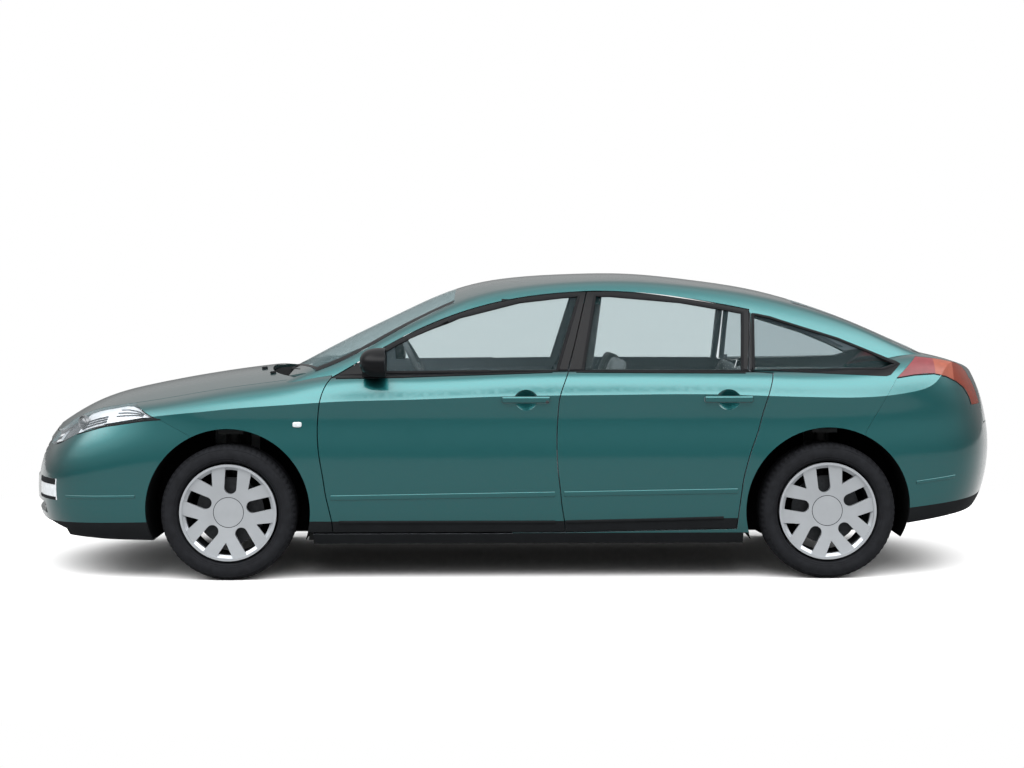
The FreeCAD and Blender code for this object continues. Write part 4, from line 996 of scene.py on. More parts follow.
@dataclass
class RoadWheels:
    """The four tyres with their tread, and the trim of the wheels."""

    axles: tuple[tuple[str, float, float], ...] = (("front", FRONT_AXLE_X, 0.793), ("rear", REAR_AXLE_X, 0.779))
    tyre_radius: float = 0.328
    tyre_wide: float = 0.225
    sidewall: tuple[Point, ...] = (
        (0.247, 0.84), (0.251, 0.90), (0.258, 0.955), (0.269, 0.985), (0.282, 1.0), (0.296, 0.985), (0.308, 0.945),
        (0.317, 0.88), (0.323, 0.80), (0.326, 0.70))
    inner_bead: Point = (0.243, 0.78)
    grooves: tuple[float, ...] = (-0.058, -0.021, 0.021, 0.058)
    groove_wide: float = 0.009
    groove_deep: float = 0.007
    groove_draft: float = 0.001
    shoulder_start: float = 0.072
    shoulder_radius: float = 0.312
    shoulder_deep: float = 0.0056
    blocks: int = 68
    segments: int = 204
    fold_angle: float = 28.0
    rings: tuple[Point, ...] = ((0.2545, 0.948), (0.2635, 0.975), (0.3075, 0.950))
    ring_radius: float = 0.0012
    ring_sides: int = 8
    ring_segments: int = 96
    cap_radius: float = 0.073
    cap_points: int = 72
    cap_section: Section = (0.0028, 0.0004, 0.002)

    def section(self) -> list[Point]:
        """The tyre's outer section as (radius, place across), from bead to bead.

        Returns:
            The points of the closed section.
        """
        half = self.tyre_wide / 2
        deep = self.tyre_radius - self.groove_deep
        tread: list[Point] = []
        for place in self.grooves:
            low, high = place - self.groove_wide / 2, place + self.groove_wide / 2
            tread += [(self.tyre_radius, low), (deep, low + self.groove_draft), (deep, high - self.groove_draft),
                      (self.tyre_radius, high)]
        left = [(r, -half * share) for r, share in self.sidewall]
        right = [(r, half * share) for r, share in reversed(self.sidewall)]
        radius, share = self.inner_bead
        return left + tread + right + [(radius, half * share), (radius, -half * share)]

    def tyre(self, name: str, centre: Vector) -> Piece:
        """One tyre with grooves round it and blocks across its shoulders.

        Args:
            name: The piece's name.
            centre: The wheel's centre.

        Returns:
            The new object.
        """
        rows = []
        section = self.section()
        for i in range(self.segments):
            turn = 2 * math.pi * i / self.segments
            cut = i % (self.segments // self.blocks) == 0
            out = Vector((math.cos(turn), 0, math.sin(turn)))
            row = []
            for r, y in section:
                shoulder = abs(y) > self.shoulder_start and r > self.shoulder_radius
                deep = self.shoulder_deep if cut and shoulder else 0.0
                row.append(centre + out * (r - deep) + Vector((0, y, 0)))
            rows.append(row)
        return from_rows(name, rows, ring=True, loop=True, angle=self.fold_angle)

    def sidewall_rings(self, name: str, centre: Vector, outside: int) -> Piece:
        """Fine raised rings on a tyre's outer sidewall.

        Args:
            name: The piece's name.
            centre: The wheel's centre.
            outside: The sign of y towards the outside.

        Returns:
            The new object.
        """
        half = self.tyre_wide / 2
        rings = []
        for k, (radius, share) in enumerate(self.rings):
            profile = []
            for j in range(self.ring_sides):
                turn = 2 * math.pi * j / self.ring_sides
                profile.append((radius + self.ring_radius * math.cos(turn),
                                outside * (half * share + self.ring_radius * math.sin(turn))))
            rings.append(turned(f"{name}_{k}", profile, centre, self.ring_segments))
        return merged(name, rings)

    def cap_joint(self, name: str, rim: str, centre: Vector) -> Piece:
        """The fine dark joint round the cap in a left wheel's middle.

        Args:
            name: The piece's name.
            rim: The rim's CAD node.
            centre: The wheel's centre.

        Returns:
            The new object.
        """
        turns = [2 * math.pi * k / self.cap_points for k in range(self.cap_points)]
        circle = [(centre.x + self.cap_radius * math.cos(t), centre.z + self.cap_radius * math.sin(t)) for t in turns]
        path = on_surface(Surface([rim]), Probe.SIDE, circle)
        return moulding(name, path, strip_section(*self.cap_section), closed=True)

    def build(self) -> None:
        """Builds and fits the tyres and the trim of all four wheels."""
        for hand in Hand:
            for place, x, y in self.axles:
                centre = Vector((x, hand.sign * y, WHEEL_Z))
                body = f"{place}_wheel_{hand.value}"
                tyre = fitted(self.tyre(f"{place}_tyre_tread_{hand.value}", centre), body, TYRE_RUBBER)
                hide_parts(f"{place}_tyre_{hand.value}")
                rings = self.sidewall_rings(f"{place}_sidewall_rings_{hand.value}", centre, hand.sign)
                fitted(rings, body, TYRE_RUBBER)
        for place, x, y in self.axles:
            joint = self.cap_joint(f"{place}_cap_joint_left", f"{place}_rim_left", Vector((x, -y, WHEEL_Z)))
            fitted_pair(joint, f"{place}_wheel_left", RUBBER_SEAL)


@dataclass
class Windows:
    """Seals round the side windows and dark bands round the bonded glass."""

    front_light: list[Point] = field(default_factory=lambda: shares([
        (-0.132, 0.684), (-0.132, 0.736), (-0.112, 0.774), (-0.052, 0.859), (0.008, 0.909), (0.051, 0.925),
        (0.066, 0.928), (0.044, 0.689)]))
    rear_light: list[Point] = field(default_factory=lambda: shares([
        (0.071, 0.689), (0.084, 0.929), (0.098, 0.929), (0.168, 0.908), (0.215, 0.881), (0.2295, 0.871),
        (0.2265, 0.687)]))
    quarter_light: list[Point] = field(default_factory=lambda: shares([
        (0.2395, 0.689), (0.2415, 0.866), (0.257, 0.855), (0.284, 0.826), (0.324, 0.784), (0.356, 0.740),
        (0.379, 0.704), (0.366, 0.692)]))
    seal_offset: float = 0.004
    seal_step: float = 0.02
    seal_section: Section = (0.014, 0.003, 0.004)
    quarter_surround: tuple[Point, ...] = (
        (1.169, 1.008), (1.172, 1.283), (1.261, 1.268), (1.393, 1.224), (1.591, 1.162), (1.757, 1.095),
        (1.888, 1.040), (1.824, 0.978))
    surround_lift: float = 0.0012
    surround_points: int = 72
    surround_rows: int = 6
    belt: tuple[Point, ...] = ((-0.870, 0.976), (-0.542, 0.981), (0.229, 1.005), (1.266, 0.997), (1.846, 0.973))
    front_belt_ends: Point = (-0.850, 0.196)
    rear_belt_ends: Point = (0.208, 1.128)
    belt_step: float = 0.04
    belt_section: Section = (0.014, 0.004, 0.004)
    band_rows: int = 36
    band_margin: float = 0.004
    band_step: float = 0.004
    band_edges: tuple[float, ...] = (0.003, 0.0225, 0.045)
    band_lift: float = 0.0012

    def seal(self, name: str, surface: Surface, outline: list[Point]) -> Piece:
        """A rubber seal along a window's outline."""
        wider = outward(outline, self.seal_offset)
        return side_strip(name, surface, [*wider, wider[0]], self.seal_step, self.seal_section, closed=True)

    def belt_strip(self, name: str, surface: Surface, ends: Point) -> Piece:
        """The dark strip along the foot of a window.

        Args:
            name: The piece's name.
            surface: The surface that carries it.
            ends: Where it starts and ends along the car.

        Returns:
            The new object.
        """
        inner = [p for p in self.belt if ends[0] < p[0] < ends[1]]
        line = [(ends[0], at_x(self.belt, ends[0])), *inner, (ends[1], at_x(self.belt, ends[1]))]
        return side_strip(name, surface, line, self.belt_step, self.belt_section)

    def surround(self, name: str, surface: Surface) -> Piece:
        """The black panel round the quarter window.

        Args:
            name: The piece's name.
            surface: The surface that carries it.

        Returns:
            The new object.
        """
        inner = spaced(outward(self.quarter_light, self.seal_offset / 2), self.surround_points)
        outer = spaced(self.quarter_surround, self.surround_points)
        rows = []
        for line in between(outer, inner, self.surround_rows):
            found = on_surface(surface, Probe.SIDE, line)
            if len(found) == self.surround_points:
                rows.append([place + normal * self.surround_lift for place, normal in found])
        return from_rows(name, rows, ring=True)

    def screen_bands(self, name: str, node: str) -> Piece:
        """The dark printed bands along both sides of a bonded window, just over its outer face.

        Args:
            name: The piece's name.
            node: The window's CAD node.

        Returns:
            The new object.
        """
        surface = Surface([node])
        low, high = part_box(node)
        rows = []
        for k in range(self.band_rows + 1):
            x = low.x + (high.x - low.x) * (self.band_margin + (1 - 2 * self.band_margin) * k / self.band_rows)
            reach = y = 0.0
            while y < high.y:
                if surface.at(Probe.TOP, x, -y):
                    reach = y
                y += self.band_step
            rows.append([(x, edge - reach) for edge in self.band_edges])
        left = draped(f"{name}_a", surface, rows, self.band_lift)
        right = draped(f"{name}_b", surface, [[(x, -y) for x, y in row] for row in rows], self.band_lift)
        return merged(name, [left, right])

    def build(self) -> None:
        """Builds and fits the window trim of both sides."""
        front = Surface(["front_door_left", "body_side_left"])
        rear = Surface(["rear_door_left", "body_side_left"])
        quarter = Surface(["body_side_left"])
        fitted_pair(self.seal("front_window_seal_left", front, self.front_light), "front_door_left", RUBBER_SEAL)
        fitted_pair(self.seal("rear_window_seal_left", rear, self.rear_light), "rear_door_left", RUBBER_SEAL)
        fitted_pair(self.seal("quarter_window_seal_left", quarter, self.quarter_light), "root", RUBBER_SEAL)
        fitted_pair(self.surround("quarter_surround_left", quarter), "root", GLOSS_BLACK)
        for place, surface, ends in (("front", front, self.front_belt_ends), ("rear", rear, self.rear_belt_ends)):
            strip = self.belt_strip(f"{place}_belt_strip_left", surface, ends)
            fitted_pair(strip, f"{place}_door_left", GLOSS_BLACK)
        for node in ("windscreen", "rear_window"):
            fitted(self.screen_bands(f"{node}_side_bands", node), "root", GLOSS_BLACK)


@dataclass
class SideTrim:
    """Rub strips, lower door covers and turn lamps on the car's sides."""

    rub_line: tuple[Point, ...] = ((-0.905, 0.402), (0.0, 0.415), (1.105, 0.432))
    rub_step: float = 0.03
    rub_section: Section = (0.026, 0.006, 0.004)
    cover_line: tuple[Point, ...] = ((-0.94, 0.282), (0.3, 0.281), (1.2, 0.304))
    cover_step: float = 0.04
    cover_section: Section = (0.014, 0.005, 0.004)
    front_ends: Point = (-0.875, 0.206)
    rear_rub_ends: Point = (0.220, 1.085)
    rear_cover_ends: Point = (0.220, 1.02)
    bumper_strips: tuple[tuple[str, Point, Point], ...] = (
        ("front_bumper", (-2.17, 0.402), (-1.82, 0.409)), ("rear_bumper", (1.952, 0.466), (2.151, 0.490)))
    bumper_step: float = 0.02
    bumper_section: Section = (0.016, 0.004, 0.003)
    lock_place: Point = (0.169, 0.8636)
    lock_profile: tuple[Point, ...] = (
        (0.0002, -0.003), (0.0044, -0.003), (0.0056, -0.0015), (0.008, -0.0015), (0.008, 0.002), (0.0002, 0.002))
    lock_segments: int = 32
    repeater: Point = (-1.034, 0.756)
    repeater_size: tuple[float, float, float] = (0.044, 0.016, 0.026)
    repeater_out: float = 0.001
    repeater_power: float = 4.0
    repeater_steps: int = 8

    def rub_strip(self, name: str, surface: Surface, ends: Point) -> Piece:
        """A body-coloured rub strip with rounded shoulders."""
        return side_strip(name, surface, stretch(self.rub_line, ends), self.rub_step, self.rub_section)

    def cover_lip(self, name: str, surface: Surface, ends: Point) -> Piece:
        """The rolled upper edge of the dark cover along a door's foot."""
        return side_strip(name, surface, stretch(self.cover_line, ends), self.cover_step, self.cover_section)

    def lock(self, name: str, surface: Surface) -> Piece:
        """The key lock beside the front door's handle."""
        place, _ = surface.at(Probe.SIDE, *self.lock_place)
        return turned(name, self.lock_profile, place, self.lock_segments, closed=False)

    def turn_lamp(self, name: str, surface: Surface) -> Piece:
        """The small turn lamp on the wing: a rounded clear bead.

        Args:
            name: The piece's name.
            surface: The wing's surface.

        Returns:
            The new object.
        """
        place, _ = surface.at(Probe.SIDE, *self.repeater)
        return rounded_block(name, place - Vector((0, self.repeater_out, 0)), Vector(self.repeater_size),
                             self.repeater_power, unchanged, self.repeater_steps)

    def build(self) -> None:
        """Builds and fits the side trim."""
        front = Surface(["front_door_left"])
        rear = Surface(["rear_door_left"])
        wing = Surface(["front_wing_left"])
        doors = (("front", front, self.front_ends, self.front_ends),
                 ("rear", rear, self.rear_rub_ends, self.rear_cover_ends))
        for place, surface, ends, _ in doors:
            fitted_pair(self.rub_strip(f"{place}_rub_strip_left", surface, ends), f"{place}_door_left", PAINT)
        for place, surface, _, ends in doors:
            lip = self.cover_lip(f"{place}_door_cover_lip_left", surface, ends)
            fitted_pair(lip, f"{place}_door_left", BLACK_TRIM)
        fitted_pair(self.turn_lamp("turn_lamp_left", wing), "root", FOG_GLASS)
        fitted(self.lock("door_lock_left", front), "front_door_left", DISC_STEEL)
        for node, first, last in self.bumper_strips:
            strip = side_strip(f"{node}_strip_left", Surface([node]), [first, last], self.bumper_step,
                               self.bumper_section)
            fitted_pair(strip, "root", PAINT)


@dataclass
class Lamps:
    """What shows inside the headlamps, and the dark seals round the lamps."""

    centre: Vector = field(default_factory=lambda: Vector((-1.55, -0.25, 0.0)))
    directions: Point = (-25.0, 88.0)
    heights: Point = (0.60, 0.92)
    height_step: float = 0.004
    least_found: int = 4
    probe_start: float = 2.0
    probe_reach: float = 1.6
    missed_reach: float = 0.6
    columns: int = 56
    rows: int = 14
    edge: float = 0.012
    head_depth: float = -0.034
    fold_angle: float = 50.0
    cone_shares: Point = (0.62, 0.86)
    projector_radius: float = 0.036
    projector_bulge: float = 0.018
    projector_steps: int = 10
    projector_hole: float = 0.02
    projector_ring: tuple[Point, ...] = ((0.036, 0.0), (0.038, 0.006), (0.044, 0.006), (0.046, -0.01))
    projector_segments: int = 40
    projector_ahead: float = 0.004
    fin_groups: tuple[tuple[Point, tuple[float, ...]], ...] = (
        ((0.36, 0.60), (0.16, 0.32, 0.48)), ((0.08, 0.33), (0.40, 0.60, 0.80)))
    fin_section: Section = (0.0035, 0.008, 0.0)
    head_seal_line: list[Point] = field(default_factory=lambda: shares([
        (-0.480, 0.4365), (-0.461, 0.436), (-0.446, 0.454), (-0.434, 0.476), (-0.403, 0.506), (-0.363, 0.527),
        (-0.345, 0.532)]))
    tail_seal_line: list[Point] = field(default_factory=lambda: shares([
        (0.379, 0.660), (0.397, 0.669), (0.417, 0.672), (0.430, 0.662), (0.442, 0.643), (0.450, 0.623),
        (0.4562, 0.593), (0.459, 0.565)]))
    seal_step: float = 0.02
    seal_section: Section = (0.007, 0.0012, 0.003)

    def inside(self, z: float) -> Vector:
        """The point inside the car at one height, from which directions are taken."""
        return Vector((self.centre.x, self.centre.y, z))

    def lens_place(self, surface: Surface, way: Vector, z: float) -> Optional[Place]:
        """Where a lamp's lens lies in one direction, at one height."""
        return surface.hit(self.inside(z) + way * self.probe_start, -way, self.probe_reach)

    def spans(self, surface: Surface) -> list[Span]:
        """Finds how high a lamp reaches in each direction.

        Args:
            surface: The lamp's surface.

        Returns:
            For each direction, its vector and the lowest and highest height found.
        """
        found = []
        first, last = self.directions
        for k in range(self.columns + 1):
            turn = math.radians(first + (last - first) * k / self.columns)
            way = Vector((-math.sin(turn), -math.cos(turn), 0))
            heights = []
            z = self.heights[0]
            while z < self.heights[1]:
                if self.lens_place(surface, way, z):
                    heights.append(z)
                z += self.height_step
            if len(heights) > self.least_found:
                found.append((way, heights[0], heights[-1]))
        return found

    def inner_face(self, name: str, surface: Surface, spans: list[Span]) -> Piece:
        """A face that follows a headlamp's lens at the reflector's depth behind it.

        Args:
            name: The piece's name.
            surface: The lamp's surface.
            spans: Directions with the lowest and highest height.

        Returns:
            The new object.
        """
        rows = []
        for way, low, high in spans:
            low, high = low + self.edge, high - self.edge
            row = []
            for k in range(self.rows + 1):
                z = low + (high - low) * k / self.rows
                hit = self.lens_place(surface, way, z)
                place = hit[0] if hit else self.inside(z) + way * self.missed_reach
                row.append(place + way * self.head_depth)
            rows.append(row)
        return from_rows(name, rows, angle=self.fold_angle)

    def projector(self, name: str, place: Vector, way: Vector) -> Piece:
        """A round projector lens in its bright ring.

        Args:
            name: The piece's name.
            place: The middle of its ring.
            way: The direction in which it looks.

        Returns:
            The new object.
        """
        quarter, steps = math.pi / 2, self.projector_steps
        dome = [(self.projector_radius * math.sin(quarter * (k + self.projector_hole) / steps),
                 self.projector_bulge * math.cos(quarter * k / steps)) for k in range(steps + 1)]
        lens = turned(name, [*dome, *self.projector_ring], Vector((0, 0, 0)), self.projector_segments, Axis.X,
                      closed=False)
        lens.data.transform(Matrix.Translation(place) @ way.to_track_quat("X", "Z").to_matrix().to_4x4())
        return lens

    def fins(self, name: str, surface: Surface, spans: list[Span]) -> Piece:
        """Level fins across a headlamp's bright part.

        Args:
            name: The piece's name.
            surface: The lamp's surface.
            spans: Directions with the lowest and highest height.

        Returns:
            The new object.
        """
        count = len(spans)
        pieces = []
        for (first, last), heights in self.fin_groups:
            for share in heights:
                path = []
                for way, low, high in spans[round(count * first):round(count * last)]:
                    hit = self.lens_place(surface, way, low + self.edge + (high - low - 2 * self.edge) * share)
                    if hit:
                        path.append((hit[0] + way * self.head_depth, way))
                if len(path) > 2:
                    pieces.append(moulding(f"{name}_{len(pieces)}", path, strip_section(*self.fin_section)))
        return merged(name, pieces)

    def build(self) -> None:
        """Builds and fits the insides of the headlamps and the seals of all lamps."""
        heads = Surface(["headlamps"])
        spans = self.spans(heads)
        first, last = (round(len(spans) * share) for share in self.cone_shares)
        bright = [self.inner_face(f"headlamp_reflector_{k}", heads, part)
                  for k, part in enumerate((spans[:first + 1], spans[last:]))]
        fitted_pair(merged("headlamp_reflector_left", bright), "root", REFLECTOR)
        dark = self.inner_face("headlamp_housing_left", heads, spans[first:last + 1])
        fitted_pair(dark, "root", LAMP_HOUSING)
        way, low, high = spans[first]
        place, _ = self.lens_place(heads, way, (low + high) / 2)
        lens = self.projector("headlamp_projector_left", place + way * (self.head_depth + self.projector_ahead), way)
        fitted_pair(lens, "root", PROJECTOR_LENS)
        fitted_pair(self.fins("headlamp_fins_left", heads, spans), "root", LAMP_HOUSING)
        for name, nodes, line in (
                ("headlamp_seal_left", ["headlamps", "front_wing_left", "front_bumper"], self.head_seal_line),
                ("tail_lamp_seal_left", ["tail_lamps", "body_side_left", "rear_bumper"], self.tail_seal_line)):
            seal = side_strip(name, Surface(nodes), line, self.seal_step, self.seal_section)
            fitted_pair(seal, "root", RUBBER_SEAL)


@dataclass(frozen=True)
class SeatPart:
    """The place in the car's middle plane, the size and the squareness of one padded part of a seat."""

    place: Point
    size: tuple[float, float, float]
    power: float
    steps: int = 20
    channels: int = 0
    channel_deep: float = 0.0

    def block(self, name: str, y: float, shape: Callable[[Vector], Vector]) -> Piece:
        """The part's soft block at one distance from the middle."""
        centre = Vector((self.place[0], y, self.place[1]))
        return rounded_block(name, centre, Vector(self.size), self.power, shape, self.steps)


@dataclass
class Cabin:
    """The seats that show through the windows."""

    seat_y: float = 0.37
    back_lean: float = 20.0
    front_pivot: Point = (0.25, 0.36)
    front_cushion: SeatPart = SeatPart((0.09, 0.365), (0.54, 0.49, 0.29), 6.0, 20, 4, 0.05)
    front_back: SeatPart = SeatPart((0.30, 0.66), (0.125, 0.48, 0.57), 5.0)
    front_head: SeatPart = SeatPart((0.29, 1.03), (0.09, 0.25, 0.155), 4.0)
    rear_pivot: Point = (0.875, 0.36)
    rear_cushion: SeatPart = SeatPart((0.72, 0.365), (0.54, 1.25, 0.29), 8.0, 28, 6, 0.05)
    rear_back: SeatPart = SeatPart((0.94, 0.66), (0.125, 1.25, 0.57), 8.0, 28, 6, 0.03)
    rear_head: SeatPart = SeatPart((0.93, 1.0), (0.085, 0.24, 0.13), 4.0)
    rear_heads_y: Point = (-0.42, 0.42)
    crown: float = 0.10
    side_swell: float = 0.2
    channel_sharpness: int = 6
    channel_low: float = 0.3

    def crowned(self, part: SeatPart) -> Callable[[Vector], Vector]:
        """Shapes a cushion: crowned in the middle, with sewn channels along it.

        Args:
            part: The seat part to shape, with its channels.

        Returns:
            What moves a point of the part's soft block.
        """
        def shape(p: Vector) -> Vector:
            """Moves one point of the cushion.

            Args:
                p: The point, from -1 to 1 each way.

            Returns:
                The moved point.
            """
            crown = 1 + self.crown * (1 - p.x * p.x) * (1 - p.y * p.y)
            fold = abs(math.sin(p.y * math.pi * part.channels / 2)) ** self.channel_sharpness
            groove = part.channel_deep * fold if p.z > self.channel_low else 0.0
            return Vector((p.x, p.y, p.z * crown * (1 - groove)))
        return shape

    def bolstered(self, p: Vector) -> Vector:
        """Moves one point of a seat back, which grows thicker towards its sides."""
        return Vector((p.x * (1 + self.side_swell * p.y * p.y), p.y, p.z))

    def leaned(self, obj: Piece, pivot: Vector) -> Piece:
        """Leans a seat back or head rest backwards about a point.

        Args:
            obj: The seat back or head rest.
            pivot: The point.

        Returns:
            The leaned object.
        """
        turn = Matrix.Translation(pivot) @ Matrix.Rotation(math.radians(self.back_lean), 4, "Y")
        obj.data.transform(turn @ Matrix.Translation(-pivot))
        return obj

    def front_seat(self, hand: Hand) -> list[Piece]:
        """One front seat in three padded pieces.

        Args:
            hand: The side of the car.

        Returns:
            The cushion, the back and the head rest.
        """
        y = hand.sign * self.seat_y
        pivot = Vector((self.front_pivot[0], y, self.front_pivot[1]))
        cushion = self.front_cushion.block(f"front_seat_cushion_{hand.value}", y,
                                           self.crowned(self.front_cushion))
        back = self.front_back.block(f"front_seat_back_{hand.value}", y, self.bolstered)
        head = self.front_head.block(f"front_head_rest_{hand.value}", y, unchanged)
        return [cushion, self.leaned(back, pivot), self.leaned(head, pivot)]

    def rear_bench(self) -> list[Piece]:
        """The rear bench in padded pieces.

        Returns:
            The cushion, the back and the two head rests.
        """
        pivot = Vector((self.rear_pivot[0], 0, self.rear_pivot[1]))
        cushion = self.rear_cushion.block("rear_seat_cushion", 0, self.crowned(self.rear_cushion))
        back = self.rear_back.block("rear_seat_back", 0, self.crowned(self.rear_back))
        heads = [self.rear_head.block(f"rear_head_rest_{k + 1}", y, unchanged)
                 for k, y in enumerate(self.rear_heads_y)]
        return [cushion, *(self.leaned(piece, pivot) for piece in (back, *heads))]

    def build(self) -> None:
        """Builds and fits the seats."""
        for hand in Hand:
            for piece in self.front_seat(hand):
                fitted(piece, "root", SEAT_CLOTH)
                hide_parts("front_seats")
        for piece in self.rear_bench():
            fitted(piece, "root", SEAT_CLOTH)
            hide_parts("rear_seat")


@dataclass
class NoseTrim:
    """Wipers, washer jets, the windscreen's foot seal and the dark meshes in the nose."""

    jets: tuple[Point, ...] = ((-1.258, -0.28), (-1.19, -0.52))
    jet_size: tuple[float, float, float] = (0.030, 0.020, 0.014)
    jet_lift: float = 0.004
    jet_power: float = 3.5
    jet_slope: float = 0.3
    jet_steps: int = 6
    foot_search: Point = (-1.3, -0.7)
    foot_fine: float = 0.002
    foot_step: float = 0.02
    foot_ends: Point = (-0.64, 0.64)
    foot_section: tuple[Point, ...] = (
        (0.012, 0.0012), (0.0, 0.0008), (-0.006, -0.004), (-0.006, -0.021), (0.0, -0.021))
    blades: tuple[Point, ...] = ((-0.60, -0.03), (0.02, 0.56))
    blade_shift: tuple[float, float, float] = (-0.030, 0.0, -0.026)
    blade_up: tuple[float, float, float] = (-0.25, 0.0, 1.0)
    blade_section: Section = (0.010, 0.012, 0.0)
    arm_section: Section = (0.016, 0.008, 0.0)
    arm_root: float = 1.15
    arm_lift: float = 0.003
    arm_pieces: int = 8
    intake: Point = (0.296, 0.368)
    intake_reach: float = 0.66
    intake_probe: float = 0.010
    mesh_columns: int = 48
    mesh_behind: float = 0.035
    mesh_thick: float = 0.003
    fog_reach: Point = (-0.762, -0.543)
    fog_step: float = 0.02
    fog_bands: tuple[tuple[float, Section], ...] = ((0.4700, (0.028, 0.003, 0.003)), (0.3885, (0.016, 0.003, 0.003)))

    def sloped(self, p: Vector) -> Vector:
        """Moves one point of a washer jet, which grows taller towards the windscreen."""
        return Vector((p.x, p.y, p.z * (1 + self.jet_slope * p.x)))

    def jet(self, name: str, surface: Surface, place: Point) -> Piece:
        """A small washer jet on the bonnet.

        Args:
            name: The piece's name.
            surface: The bonnet's surface.
            place: Where it stands as (x, y).

        Returns:
            The new object.
        """
        foot, _ = surface.at(Probe.TOP, *place)
        return rounded_block(name, foot + Vector((0, 0, self.jet_lift)), Vector(self.jet_size), self.jet_power,
                             self.sloped, self.jet_steps)

    def foot(self, screen: Surface, y: float) -> Optional[Vector]:
        """The lower edge of the windscreen at one place across the car.

        Args:
            screen: The windscreen's surface.
            y: The place across the car.

        Returns:
            The edge, or None.
        """
        x, last = self.foot_search
        while x < last:
            found = screen.at(Probe.TOP, x, y)
            if found:
                return found[0]
            x += self.foot_fine
        return None

    def foot_line(self, screen: Surface, first: float, last: float) -> list[Vector]:
        """Places along the windscreen's lower edge.

        Args:
            screen: The windscreen's surface.
            first: Where the line starts across the car.
            last: Where it ends.

        Returns:
            The places found.
        """
        count = round((last - first) / self.foot_step)
        found = [self.foot(screen, first + (last - first) * k / count) for k in range(count + 1)]
        return [f for f in found if f]

    def foot_seal(self, name: str, screen: Surface) -> Piece:
        """The dark skirt from the windscreen's foot down to the cowl.

        Args:
            name: The piece's name.
            screen: The windscreen's surface.

        Returns:
            The new object.
        """
        rows = [[place + Vector((x, 0, z)) for x, z in self.foot_section]
                for place in self.foot_line(screen, *self.foot_ends)]
        return from_rows(name, rows, ring=True, capped=True)

    def wiper(self, name: str, screen: Surface, ends: Point) -> Piece:
        """One wiper that lies in the cowl, ahead of the windscreen's foot.

        Args:
            name: The piece's name.
            screen: The windscreen's surface.
            ends: Where the blade starts and ends across the car.

        Returns:
            The new object.
        """
        up = Vector(self.blade_up).normalized()
        shift = Vector(self.blade_shift)
        edge = self.foot_line(screen, *ends)
        blade = moulding(f"{name}_blade", [(p + shift, up) for p in edge], strip_section(*self.blade_section))
        start = edge[-1] + shift * self.arm_root
        end = edge[len(edge) // 2] + shift + up * self.arm_lift
        path = [(start.lerp(end, k / self.arm_pieces), up) for k in range(self.arm_pieces + 1)]
        arm = moulding(f"{name}_arm", path, strip_section(*self.arm_section))
        return merged(name, [blade, arm])

    def intake_mesh(self, name: str, surface: Surface) -> Piece:
        """The dark panel behind the low opening in the nose.

        Args:
            name: The piece's name.
            surface: The nose's surface, probed just above the opening.

        Returns:
            The new object.
        """
        low, high = self.intake
        rows = []
        for k in range(self.mesh_columns + 1):
            y = self.intake_reach * (2 * k / self.mesh_columns - 1)
            found = surface.at(Probe.NOSE, y, high + self.intake_probe)
            if found:
                front = found[0].x + self.mesh_behind
                back = front + self.mesh_thick
                rows.append([Vector((x, y, z)) for x, z in ((front, low), (front, high), (back, high), (back, low))])
        return from_rows(name, rows, ring=True, capped=True)

    def build(self) -> None:
        """Builds and fits the pieces of the nose."""
        bonnet = Surface(["bonnet"])
        for k, place in enumerate(self.jets):
            fitted(self.jet(f"washer_jet_{k + 1}", bonnet, place), "bonnet", BLACK_TRIM)
        screen = Surface(["windscreen"])
        fitted(self.foot_seal("windscreen_foot_seal", screen), "root", RUBBER_SEAL)
        for k, ends in enumerate(self.blades):
            fitted(self.wiper(f"wiper_{k + 1}", screen, ends), "root", BLACK_TRIM)
        fitted(self.intake_mesh("intake_mesh", Surface(["front_bumper"])), "root", BLACK_TRIM)
        lens = Surface(["fog_lamps"])
        for k, (z, section) in enumerate(self.fog_bands):
            path = on_surface(lens, Probe.NOSE, straight_line([(y, z) for y in self.fog_reach], self.fog_step))
            fitted_pair(moulding(f"fog_band_{k + 1}_left", path, strip_section(*section)), "root", BLACK_TRIM)


